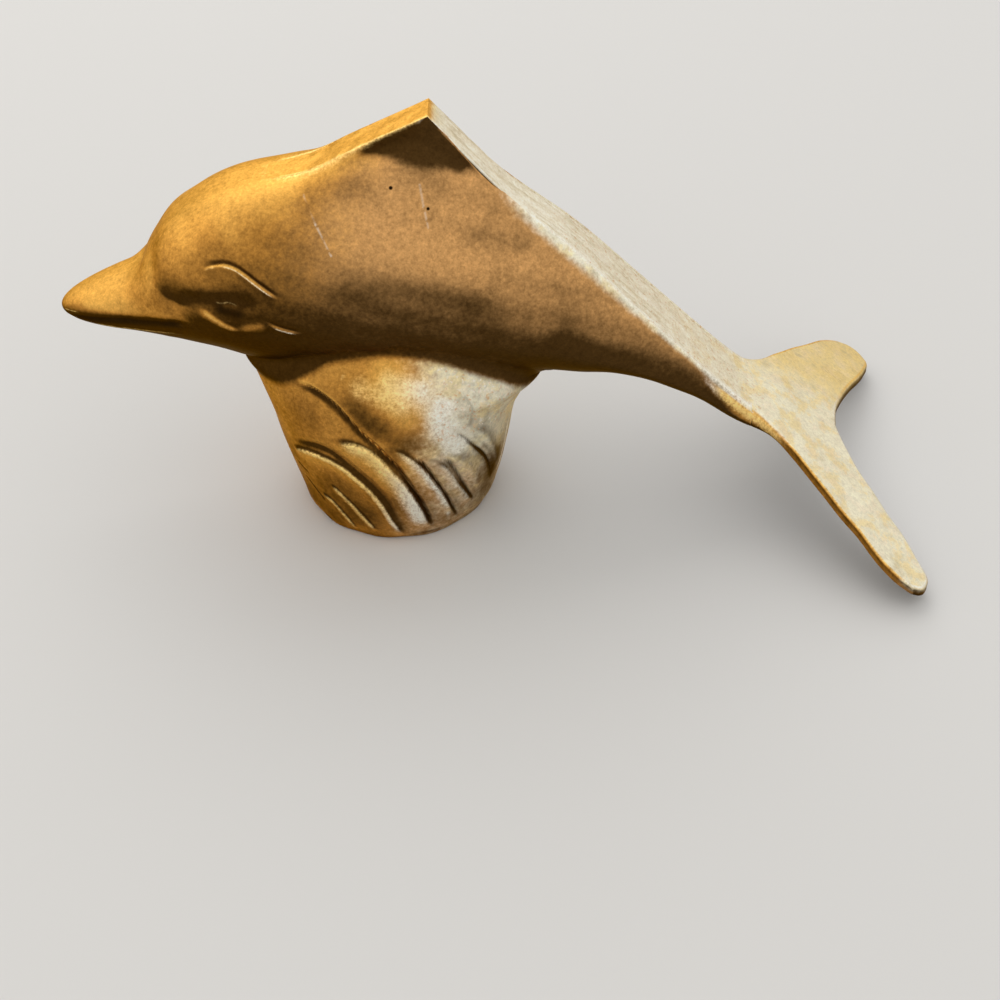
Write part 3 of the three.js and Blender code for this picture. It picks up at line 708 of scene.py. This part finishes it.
def ring_grid(turns):
    """One side of the ring around the tail stock, from the ridge to the keel: the body's own section,
    as wide as the joint, and hollowed to an even depth."""
    sides = [(share, 0.0) for share in np.linspace(-1, 1, 9)]
    rows = []
    for share, inset in [*sides, (1, ring_depth), (-1, ring_depth)]:
        x = tail_root_x + ring_half_length * share
        line = body_skin(np.array([[x]]), turns[None, :])[0]
        middle = np.array([x, 0, body_lines(np.array([x]))[2][0]])
        away = (line - middle) / np.maximum(np.linalg.norm(line - middle, axis=-1, keepdims=True), 1e-6)
        rows.append(line - away * inset)
    rows = np.stack(rows, 0)
    middle_top = rows[:, :1] * [1, 0, 1]
    across_top = np.arange(ring_top_count)[None, :, None] / ring_top_count
    return np.concatenate([middle_top + (rows[:, :1] - middle_top) * across_top, rows], 1)


brazing_metal = brass("brazing_metal")
for name, ends in (("chin_seam_bead", chin_bead), ("keel_seam_bead", keel_bead)):
    grid = bead_grid(np.linspace(*ends, 60)[:, None])
    plain = np.zeros(grid.shape[:2])
    # Painted shade: the beads lie under the chin and the keel and get little painted light.
    marks = {"sky": plain + 0.1, "dark": plain + 0.2, "gold": plain + 1}
    stand_in(skin(name + "_line", grid, marks), name, brazing_metal)
half_turns = graded([0, 1.57, np.pi], [39, 39])
right = ring_grid(half_turns)
# Painted light on the ring: lighter where it faces up, darker below, with painted highlights near the top of
# its sides and along the root's golden side.
facing_up = np.abs(outward(right)[..., 2])
facing_up[:, ring_top_count:] *= np.where(half_turns < 1.58, 1, -1)
facing_up[:, :ring_top_count] = 1
below = saddle(right[..., 0]) - right[..., 2]
root_gold, root_lit = root_marks(right[..., 0], below)
marks = {"sky": facing_up + 0.4 * root_gold, "dark": 0 * below, "gold": root_gold,
         "lit": np.maximum(0.8 * root_lit, 0.8 * np.exp(-below / 0.5) * (np.abs(right[..., 1]) > 5.2)),
         "pale": ease(1.2, 0.2, below), "speckle": 0.95 * ease(2, 0.5, below)}
grid = np.concatenate([right, (right * [1, -1, 1])[:, -2::-1]], 1).transpose(1, 0, 2)
marks = {key: np.concatenate([value, value[:, -2::-1]], 1).T for key, value in marks.items()}
stand_in(skin("tail_ring", grid, marks, caps=False), "tail_braze_ring", brazing_metal)


# The tail flukes: a second, paler brass casting, a plate that slopes and droops to two
# round tips, on a short end of the tail stock. Its free edge is thick and golden.
fluke_step, fluke_slope, fluke_droop = 0.24, 0.59, 0.0022
fluke_root_x = tail_root_x + 1
fluke_root_z = float(saddle(fluke_root_x)) + fluke_step
fluke_end_x, fluke_half_span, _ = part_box("tail_flukes")[1] / MM
stock_start_x, stock_end_x = tail_root_x + ring_half_length, tail_root_x + 9
stock_half_width, stock_fall = 7.0, 0.28
plate_edge, plate_thickness, plate_unevenness = 0.45, 2.1, 0.1
leading = through([
    (0, -2), (0.209, -1.6), (0.256, 1.2), (0.32, 3.6), (0.404, 5.8), (0.596, 10), (0.758, 14), (0.892, 17),
    (0.97, 19.6), (1, 22)])
trailing = through([
    (0, 14.6), (0.152, 15.4), (0.313, 17.2), (0.488, 19.7), (0.64, 22.2), (0.781, 24.1), (0.882, 25.1),
    (0.953, 24.4), (0.987, 23.4), (1, 22)])


def distance_to(x, y, line):
    """The distance in the plan from every place to the nearest point of a drawn line."""
    best = np.full(np.shape(x), np.inf)
    for start, end in zip(line[:-1], line[1:]):
        step = end - start
        t = np.clip(((x - start[0]) * step[0] + (y - start[1]) * step[1]) / (step @ step), 0, 1)
        best = np.minimum(best, np.hypot(x - start[0] - t * step[0], y - start[1] - t * step[1]))
    return best


def fluke_outlines():
    """The free outline of one half: the side of the stock that turns into the leading edge, and the
    trailing edge; both end at the tip."""
    share = 1 - (1 - np.linspace(0, 1, 90)) ** 2
    front = np.stack([fluke_root_x + leading(share), share * fluke_half_span], 1)
    front = front[(front[:, 1] > stock_half_width) & (front[:, 0] > stock_start_x)]
    side = [(stock_start_x - 8, stock_half_width), (stock_start_x, stock_half_width)]
    back = np.stack([fluke_root_x + trailing(share), share * fluke_half_span], 1)
    return np.concatenate([side, front]), back


def corner_drop(distance, reach, height):
    """How far a face has dropped near its outline: a quarter of an oval."""
    return height * (1 - np.sqrt(1 - np.clip(1 - distance / reach, 0, 1) ** 2))


def fluke_faces(x, y):
    """The upper and the lower face of the tail casting over a place in its plan. The stock's end, with
    its round sides and its deep belly, turns into the plate with its small round corners."""
    front, back = fluke_outlines()
    out = np.abs(y)
    to_front, to_back = distance_to(x, out, front), distance_to(x, out, back)
    turned = ease(stock_start_x, stock_end_x, x + 0.5 * np.maximum(out - stock_half_width, 0))
    plate = fluke_root_z - fluke_slope * (x - fluke_root_x) - fluke_droop * y ** 2
    ridge, _, middle, low = body_lines(stock_start_x + 0 * x)[:4]
    uneven = plate_unevenness * ripple(x, y, 8, shortest=5, longest=14)
    plate = plate + uneven * ease(stock_start_x, stock_start_x + 5, x)
    step = fluke_root_z + fluke_slope * (1 - ring_half_length) - ridge
    top = plate - (step - fluke_droop * y ** 2) * ease(stock_start_x + 7, stock_start_x, x)
    stock_low = low - stock_fall * (x - stock_start_x)
    plate_low = plate - plate_thickness + 0.4 * out / fluke_half_span
    bottom = stock_low + (plate_low - stock_low) * turned
    full = 1 - ease(stock_start_x, stock_start_x + 6, x)
    top_height = plate_edge + (ridge - middle - plate_edge) * full
    belly_reach = plate_edge + (stock_half_width - plate_edge) * (1 - turned)
    belly_height = plate_edge + (middle - low - plate_edge) * (1 - turned)
    back_corner = corner_drop(to_back, plate_edge, plate_edge)
    top = top - corner_drop(to_front, plate_edge + 0.75 * full, top_height) - back_corner
    bottom = bottom + corner_drop(to_front, belly_reach, belly_height) + back_corner
    split = (top + bottom) / 2
    return np.maximum(top, split), np.minimum(bottom, split), to_front, to_back


def edge_spread(count):
    """Shares from 0 to 1 that lie close together at both ends: even shares less most of a sine."""
    share = np.linspace(0, 1, count)
    return share - np.sin(2 * np.pi * share) / (2 * np.pi) * 0.94


def over_and_under(upper, lower):
    """Rows of the plate that run over its upper face and then back under its lower face."""
    return np.concatenate([upper, lower[:, ::-1]], 1)


half_spans = np.concatenate([np.linspace(0, 0.9, 110)[:-1], 1 - 0.1 * (1 - np.linspace(0, 1, 40)) ** 2])
spans = np.concatenate([-half_spans[::-1], half_spans[1:]])[:, None]
plan_from = np.maximum(fluke_root_x + leading(np.abs(spans)), stock_start_x)
plan_to = np.clip(fluke_root_x + trailing(np.abs(spans)), plan_from + 1e-4, fluke_end_x)
plan_x = plan_from + (plan_to - plan_from) * edge_spread(100)
plan_y = spans * fluke_half_span + 0 * plan_x
top, bottom, to_front, to_back = fluke_faces(plan_x, plan_y)
faces = [spread(plan_x, plan_y, z) for z in (top, bottom)]
grid = over_and_under(*faces)
is_upper = over_and_under(1 + 0 * top, 0 * top)
near_front, near_back = over_and_under(to_front, to_front), over_and_under(to_back, to_back)
free = ease(stock_start_x + 1.5, stock_start_x + 7, grid[..., 0])
below = fluke_root_z - fluke_slope * (grid[..., 0] - fluke_root_x) - grid[..., 2]
side = ease(0.6, 0.2, near_front) * free * ease(1, 0.955, np.abs(spans))
side = side + ease(0.2, 1, below) * (1 - free)
root_gold, root_lit = root_marks(grid[..., 0], below)
# Painted light: the upper face is lighter where it faces up, the lower face is darker with painted shade
# under the plate, and a painted highlight runs along the rim of the upper face.
level = np.abs(over_and_under(*(outward(face)[..., 2] for face in faces)))
rim = np.exp(-((np.minimum(near_front, near_back) - 0.3) / 0.2) ** 2) * is_upper * free
face_up = level * (1 - 0.2 * side) + 0.4 * root_gold * (1 - free)
face_down = (0.55 * ease(0.4, 0.1, near_front) - 0.15) * free + (0.4 * root_gold - level) * (1 - free)
marks = {"sky": np.where(is_upper > 0, face_up, face_down),
         "gold": np.clip(root_gold * (1 - free) + side * free
                         + (0.15 + 0.7 * ease(0, 14, grid[..., 1])) * is_upper * (1 - side), 0, 1),
         "pale": is_upper * (1 - side),
         "lit": np.clip(0.75 * rim + 0.8 * root_lit * side * (1 - free), 0, 1),
         "dark": 0.5 * (1 - is_upper) * (1 - side) * free,
         "speckle": is_upper * ease(64, 55, grid[..., 0] + 0.35 * np.abs(grid[..., 1] + 3))}
stand_in(skin("flukes", grid, marks), "tail_flukes", worn_brass)


# The wave: a solid brass casting that carries the dolphin, an oval swirl on a flat round
# foot, flared at the top where it is cut to the belly. Carved flutes sweep down its
# sides; painted highlights lie along its ribs and edges, with dark patina and painted
# shade between them.
foot_radius, foot_round, foot_share, wave_lean, round_radius = 14.5, 0.5, 0.97, 0.034, 16
wave_front = through([
    (0, 0.2), (3, 0.9), (10, 2.7), (17, 4.3), (22, 5.7), (25, 6.7), (27, 7.7), (31, 4), (36, -2.5)])
wave_rear = through([
    (0, 0.3), (3, 1.4), (10, 2.9), (17, 4.1), (20, 5.2), (22, 6.5), (23.6, 8.3), (27, 7), (31, 4),
    (36, -2.5)])
wave_side = through([(0, 0.5), (3, 1.1), (10, 1.4), (17, 1.2), (22, 0.5), (26, -0.5), (32, -2.6), (36, -5.5)])
spigot_radius, spigot_top_z = 5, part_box("wave_base")[1].z / MM
seat_gap, wave_unevenness, foot_wear = 0.05, 0.08, 0.12

# Each line of the carving: its path as (distance round the wave, height), then as for
# the face; left of the path is the upper side of a line that runs down to the right.
swell_groove = [
    (-14.8, 27.4), (-12.7, 26.9), (-10.6, 26.1), (-8.2, 24.6), (-6.3, 22.9), (-4.4, 21), (-2.5, 19.3),
    (-0.7, 17.2), (1, 15.1), (2.3, 12.5), (3.4, 10.1), (4.5, 7.6), (5.4, 4.9), (6.2, 1.9)]
first_groove = [
    (-17, 15.4), (-15.2, 15.9), (-11.8, 16.9), (-9.7, 16.9), (-8.1, 16.2), (-6.5, 15.1), (-4.8, 13.6),
    (-3.1, 12), (-1.8, 10.2), (-0.5, 7.8), (0.7, 5), (1.7, 2.4), (2.4, 1.2)]
third_groove = [
    (3.2, 17.4), (4.3, 16.1), (5.5, 14.1), (6.7, 11.7), (7.7, 9.5), (8.9, 6.8), (9.9, 4.4), (10.7, 2.3)]
last_groove = [(7.5, 16.1), (8.6, 15.2), (9.7, 13.1), (11, 10.1), (12.4, 7), (13.6, 4.4)]
rear_groove = [
    (8.9, 20.5), (10.5, 19.3), (12.5, 16.9), (13.9, 14.9), (15.1, 13.1), (16.2, 10.6), (17.1, 8), (17.7, 6)]
rear_edge = [(21.4, 16.5), (20.9, 13), (20.6, 10), (20.4, 7.5), (19.6, 5)]
rear_fold = [(11.2, 27.5), (11.8, 25.8), (12.5, 23.5), (12.3, 21.3), (11, 19.8)]
first_rib = [
    (-17, 13.2), (-13.7, 14.7), (-11.4, 15.1), (-9.2, 14.9), (-7.2, 14.1), (-5.5, 12.8), (-3.8, 11.2),
    (-2.5, 9.4), (-1.3, 7.2), (-0.2, 4.5), (0.9, 2.3), (1.7, 0.6)]
second_rib = [
    (-8.8, 18.2), (-6.6, 18.9), (-4.6, 18.7), (-2.8, 17.8), (-1.3, 16.2), (0, 14.3), (1.2, 12.5), (2.3, 10.3),
    (3.4, 7.8), (4.4, 5.1), (5.6, 1.9)]
third_rib = [(0, 18.6), (1.9, 17.5), (3.7, 15.7), (5, 13.8), (6.1, 11.7), (7.3, 9.3), (8.3, 6.6), (9.2, 4)]
fourth_rib = [(6.7, 15.3), (7.8, 14.3), (8.9, 12.3), (10.1, 9.7), (11.5, 6.9), (12.8, 4.5)]
low_ribs = [[(-9.9, 9.8), (-8.5, 8.7), (-6.8, 7.1), (-5.3, 5.3), (-3.7, 3.3), (-2.8, 2)],
            [(-12.2, 6.7), (-10, 5.9), (-8.3, 4.1), (-6.7, 2), (-6.2, 1.1)]]
cuts = [[(-17, 10.8), (-13.8, 9.6)], [(-16, 8.3), (-13.4, 6.4), (-11.6, 5)]]
wave_lines = [
    (swell_groove, -0.55, 0.4, 0.35, 3),
    (first_groove, -0.34, 0.6, 0.45, 6),
    (third_groove, -0.5, 0.35, 0.35, 3),
    (last_groove, -0.45, 0.35, 0.3, 2.5),
    (rear_groove, -0.4, 0.35, 0.3, 3),
    (rear_fold, -0.2, 0.4, 0.4, 2.5),
    ([(-3, 28), (2.5, 25.8), (7, 22.5)], 0.9, 6, 5, 8),
    (moved(swell_groove[3:8], 0.8, 1.5), 0.3, 2.2, 1.1, 3),
    (first_rib, 0.45, 0.35, 1.3, 2.5),
    (second_rib, 0.55, 0.45, 1.8, 3),
    (third_rib, 0.45, 0.45, 1.3, 3),
    (fourth_rib, 0.35, 0.35, 1, 2),
    ([(9, 16.4), (10.9, 13.8), (12.6, 10.6), (14.6, 5.8)], 0.35, 1.2, 0.7, 3),
    ([(12.6, 20.2), (14.2, 17.6), (15.8, 15), (17.4, 11.2), (18.6, 7.5)], 0.3, 0.9, 0.5, 3),
    *((line, 0.22, 0.3, 0.45, 1) for line in low_ribs),
    *((line, -0.12, 0.25, 0.2, 0.8) for line in cuts),
    ([(-15, 23.5), (-12, 23.4)], 0.35, 3, 2.6, 3),
]
wave_dark = [
    (swell_groove[:6], 0.75, 0.22, 0.3, 3),
    (swell_groove[4:9], 0.18, 0.6, 0.4, 3),
    (swell_groove[7:], 0.5, 0.4, 0.35, 3),
    (first_groove[5:], 0.2, 0.35, 0.3, 4),
    (third_groove, 0.5, 0.35, 0.3, 3),
    (last_groove, 0.7, 0.28, 0.25, 2.5),
    ([(4.6, 16.2), (6.5, 15.8), (8.2, 14.6), (9.4, 12.8)], 0.5, 0.4, 0.9, 2),
    (rear_groove, 0.65, 0.22, 0.22, 3),
    (rear_fold, 0.45, 0.35, 0.35, 2.5),
    *((line, 0.4, 0.2, 0.2, 0.8) for line in cuts),
    ([(-14, 1.2), (-11, 0.7)], 0.8, 0.6, 0.6, 1),
]
# Painted highlights on the ribs, the swell, the foot and the rear edge.
wave_highlights = [
    (first_rib, 0.85, 0.25, 0.55, 4),
    (second_rib, 0.95, 0.45, 1.9, 4),
    (third_rib, 0.65, 0.35, 1, 3),
    (fourth_rib, 0.45, 0.35, 0.8, 2),
    *((line, 0.75, 0.3, 0.7, 1.5) for line in low_ribs),
    ([(8, 3.8), (9.5, 4.2)], 0.7, 0.7, 0.7, 0.8),
    ([(-8.4, 29.6), (-7, 29)], 0.5, 0.9, 0.8, 1),
    ([(-8.5, 28.8), (-3.1, 27.2), (1.7, 25.3), (5.2, 23.7)], 0.5, 2.6, 2, 4),
    ([(-2.5, 29.6), (1, 29), (5, 28), (8, 26.5)], 0.7, 2, 2.4, 3),
    ([(10.4, 27.3), (8.8, 25.2), (7.6, 23.1), (9.3, 19.5), (12.2, 15.2)], 0.8, 2.6, 2.8, 3),
    (rear_edge, 1.0, 0.4, 0.5, 2.5),
]
# Painted shade beside the grooves and under the swell; a line with a negative strength is painted light on
# the swell.
wave_shade = [
    ([(-8.7, 26.2), (-5.6, 23.7), (-2.4, 21.4), (1.4, 19.5), (4.4, 17.9), (6.2, 16.6)], 0.42, 2.9, 1.4, 5),
    (first_groove[:7], 0.26, 1.2, 0.9, 3),
    (first_groove[5:], 0.24, 1.1, 0.4, 3),
    (swell_groove[7:], 0.3, 0.9, 0.3, 3),
    (third_groove, 0.3, 0.8, 0.3, 3),
    ([(-1.9, 18.9), (0, 17.6), (1.8, 15.3)], 0.3, 0.8, 0.8, 2),
    ([(-5, 29.8), (0, 28.6), (5, 26.6), (9, 23.6)], -0.5, 3.4, 3.2, 5),
    ([(-18, 20), (-13, 20.3), (-8, 20.5)], 0.26, 3.5, 2.2, 5),
    ([(-13, 12), (-9, 10), (-5, 6), (-3, 2)], 0.2, 4, 4, 4),
    ([(12.9, 16.9), (16.1, 11.5), (18.5, 5.5)], 0.45, 1.8, 1.3, 3),
    ([(13, 12), (17, 8), (22, 6)], 0.25, 6, 6, 5),
]
# Painted shade under the belly's overhang: above this border the wave is painted brown.
belly_shade_border = through([
    (-25, 25), (-17.7, 25.8), (-14.9, 26.9), (-12.8, 28.9), (-10, 31.1), (-1.7, 32.8), (4.6, 32.5),
    (8.1, 31.6), (11.1, 30.3), (13.9, 28.6), (16.2, 26.9), (19.4, 24), (25, 23)])


def wave_place(even, z):
    """Where the wave's plain form is at an even turn and a height: an oval whose reach changes with
    the height, and whose points lean the way the flutes do."""
    turn = even + wave_lean * np.sin(even) * z
    line = np.where(np.cos(turn) < 0, wave_front(z), wave_rear(z))
    return (foot_radius + line) * np.cos(turn), (foot_radius + wave_side(z)) * np.sin(turn)


def belly_over(x, y):
    """The height of the dolphin's belly over a place in the plan, or far above beside it."""
    middle, low, wide = body_lines(x)[2:5]
    rise = np.sqrt(1 - np.clip(np.abs(y) / wide, 0, 1) ** 2)
    return np.where(np.abs(y) < wide, middle - (middle - low) * rise, 99)


def contact_heights(even):
    """The height at which each spoke of the wave first meets the belly."""
    heights = np.linspace(16, 36, 801)
    x, y = wave_place(even[:, None], heights)
    met = heights >= belly_over(x, y)
    return heights[met.argmax(1)]


def wave_skin(even, z):
    """The carved surface of the wave at an even turn and a height, and the distance round the wave
    there. It counts from the middle of each side, so that both sides are carved alike."""
    x, y = wave_place(even, z)
    around = round_radius * np.arctan2(x, np.abs(y))
    relief = drawn(around, z, wave_lines) + wave_unevenness * ripple(around, z, 11)
    worn_foot = foot_wear * ease(3, 0, z) * (1 + ripple(around, z, 12, shortest=3, longest=9))
    grow = 1 + (relief * ease(0, 1.2, z) - worn_foot) / np.hypot(x, y)
    return spread(x * grow, y * grow, z), around


def wave_marks(around, z, turned_up):
    """The marks of the wave's colour: golden at the front and pale at the rear, painted highlights on
    the swell and on the ribs, painted light that follows the turn of the carving and fades towards
    the bottom, and painted shade, brown above a border under the belly."""
    black, bright, shade = [drawn(around, z, lines) for lines in (wave_dark, wave_highlights, wave_shade)]
    border = ease(-1.2, 1.2, z - belly_shade_border(around))
    pale = ease(-8, 8, around - 6 + 0.3 * np.clip(22 - z, 0, 20))
    # Painted light and shade: lighter where the carving turns up, darker under the shade lines, above the
    # border and towards the bottom.
    return {"sky": 0.5 + 1.35 * turned_up - shade - 0.85 * border - 0.2 * ease(16, 6, z),
            "dark": np.clip(black, 0, 1),
            "lit": np.clip(bright, 0, 1) * (1 - border),
            "gold": 1 - 0.8 * pale - 0.15 * np.clip(bright, 0, 1),
            "pale": pale * (0.5 + 0.5 * ease(8, 20, z)) * (1 - border),
            "speckle": ease(3, 8, around) * ease(16, 19, z) * (1 - border)}


spokes = np.linspace(0, 2 * np.pi, 561)[:-1]
contact = contact_heights(spokes)
rim_shares = np.array([0, 0.04, 0.12, 0.25, 0.42, 0.65, 1])
rows = np.concatenate([foot_round * rim_shares / 30, np.linspace(foot_round / 30, 1, 124)[1:]])
height = rows[:, None] * contact
height[:len(rim_shares)] = foot_round * rim_shares[:, None]
outside, around = wave_skin(spokes, height)
above_rim = foot_round - np.minimum(height, foot_round)
sunk = foot_round - np.sqrt(np.clip(foot_round ** 2 - above_rim ** 2, 0, None))
outside[..., :2] *= (1 - sunk / np.hypot(outside[..., 0], outside[..., 1]))[..., None]
plain_form = np.stack([*wave_place(spokes, height), height], -1)
top_x, top_y = outside[-1, :, 0], outside[-1, :, 1]
inward = np.linspace(1, spigot_radius / np.hypot(top_x, top_y), 14)[1:]
seat_x, seat_y = top_x * inward, top_y * inward
seat = spread(seat_x, seat_y, np.minimum(belly_over(seat_x, seat_y), contact) + seat_gap)
post = seat[-1:] * [1, 1, 0] + [0, 0, spigot_top_z]
foot = outside[:1] * [foot_share, foot_share, 1]
grid = np.concatenate([foot, outside, seat, post], 0)
turned_up = outward(outside)[..., 2] - outward(plain_form)[..., 2]
turned_up[:len(rim_shares)] = 0
marks = wave_marks(around, height, turned_up)
# Painted shade along the foot's lowest edge where it stands on the floor; the first row is the flat underside
# of the foot, with even marks.
marks["dark"] = np.clip(marks["dark"] + 0.4 * ease(0.6, 0, height), 0, 1)
marks = {key: np.pad(value, ((1, len(seat) + 1), (0, 0)), mode="edge") for key, value in marks.items()}
for key, value in {"sky": 0.3, "dark": 0.3, "lit": 0, "gold": 0.5, "pale": 0.3, "speckle": 0}.items():
    marks[key][0] = value
stand_in(skin("wave", grid, marks), "wave_base", cast_brass)


# The collar: brazing metal run round the joint between the wave and the belly, dressed
# to a small hollow fillet that is wider at the front and rear than at the sides.
collar_spokes = np.linspace(0, 2 * np.pi, 361)[:-1]
collar_contact = contact_heights(collar_spokes)


def belly_step(x, y, length):
    """The places in the plan a length further out along the belly, straight away from the origin."""
    out = np.hypot(x, y)
    step = np.linspace(0, length.max(), 60)
    px, py = x[:, None] * (1 + step / out[:, None]), y[:, None] * (1 + step / out[:, None])
    pz = belly_over(px, py)
    run = np.cumsum(np.hypot(np.diff(step), np.diff(pz, axis=1)), axis=1)
    run = np.concatenate([np.zeros((len(x), 1)), run], 1)
    far = np.array([np.interp(length[i], run[i], step) for i in range(len(x))])
    return x * (1 + far / out), y * (1 + far / out)


fillet_count = 14
fillet_at_sides, fillet_more = 0.9, 1.7


def collar_grid(even, top):
    """The fillet as closed rings, one for each spoke: a curve from the wave's side over to the belly
    that is tangent to both, closed through the metal behind it."""
    size = fillet_at_sides + fillet_more * np.cos(even) ** 2
    corner, low = wave_skin(even, top)[0], wave_skin(even, top - size)[0] * [0.998, 0.998, 1]
    high_x, high_y = belly_step(corner[:, 0], corner[:, 1], size)
    high = spread(high_x, high_y, belly_over(high_x, high_y) + 0.03)
    t = np.linspace(0, 1, fillet_count)[:, None, None]
    face = low * (1 - t) ** 2 + corner * 2 * t * (1 - t) + high * t ** 2
    inside = [0.97, 0.97, 1]
    behind = np.stack([high + [0, 0, 0.3], corner * inside + [0, 0, 0.35], low * inside], 0)
    return np.concatenate([face, behind], 0).transpose(1, 0, 2)


grid = collar_grid(collar_spokes, collar_contact)
grid = np.concatenate([grid, grid[:1]], 0)
share = np.minimum(np.arange(grid.shape[1]) / (fillet_count - 1), 1)
around = round_radius * np.arctan2(grid[..., 0], np.abs(grid[..., 1]))
marks = wave_marks(around, grid[..., 2], 0 * around)
# Painted shade under the belly: on its upper part the fillet loses its light, pale, highlight and speckle
# marks and grows darker.
on_belly = ease(0.35, 0.75, share)
for key in ("sky", "pale", "lit", "speckle"):
    marks[key] = marks[key] * (1 - on_belly)
marks["sky"] = marks["sky"] - 0.15 * on_belly
stand_in(skin("collar", grid, marks, caps=False), "base_braze_collar", brazing_metal)


# The studio: a pale floor under the foot, a soft lamp behind and above, and a weaker,
# warmer one at the left. Nothing here is part of the figurine.
floor_half = 3.0
floor_corners = [(floor_half * x, floor_half * y, 0) for x, y in ((-1, -1), (1, -1), (1, 1), (-1, 1))]
floor_mesh = bpy.data.meshes.new("floor")
floor_mesh.from_pydata(floor_corners, [], [(0, 1, 2, 3)])
floor = bpy.data.objects.new("floor", floor_mesh)
bpy.context.scene.collection.objects.link(floor)
floor_look = Look("floor_paint")
floor_look.feed(floor_look.surface.inputs["Base Color"], (0.66, 0.655, 0.645))
floor_look.feed(floor_look.surface.inputs["Roughness"], 0.9)
floor.data.materials.append(floor_look.material)

lamps = {"window": ((-0.20, 0.60, 0.75), 0.8, 2.6, (1.0, 0.98, 0.95)),
         "bounce": ((-0.75, 0.05, 0.50), 0.7, 0.8, (1.0, 0.88, 0.70))}
for lamp_name, (lamp_place, lamp_size, lamp_power, lamp_colour) in lamps.items():
    lamp = bpy.data.objects.new(lamp_name, bpy.data.lights.new(lamp_name, "AREA"))
    lamp.data.size, lamp.data.energy, lamp.data.color = lamp_size, lamp_power, lamp_colour
    lamp.location = lamp_place
    aim = -lamp.location.normalized()
    lamp.rotation_euler = aim.to_track_quat("-Z", "Y").to_euler()
    bpy.context.scene.collection.objects.link(lamp)

world = bpy.data.worlds.new("room")
world.use_nodes = True
sky_light = world.node_tree.nodes["Background"].inputs
sky_light["Color"].default_value, sky_light["Strength"].default_value = (1.0, 0.99, 0.97, 1), 0.85
bpy.context.scene.world = world
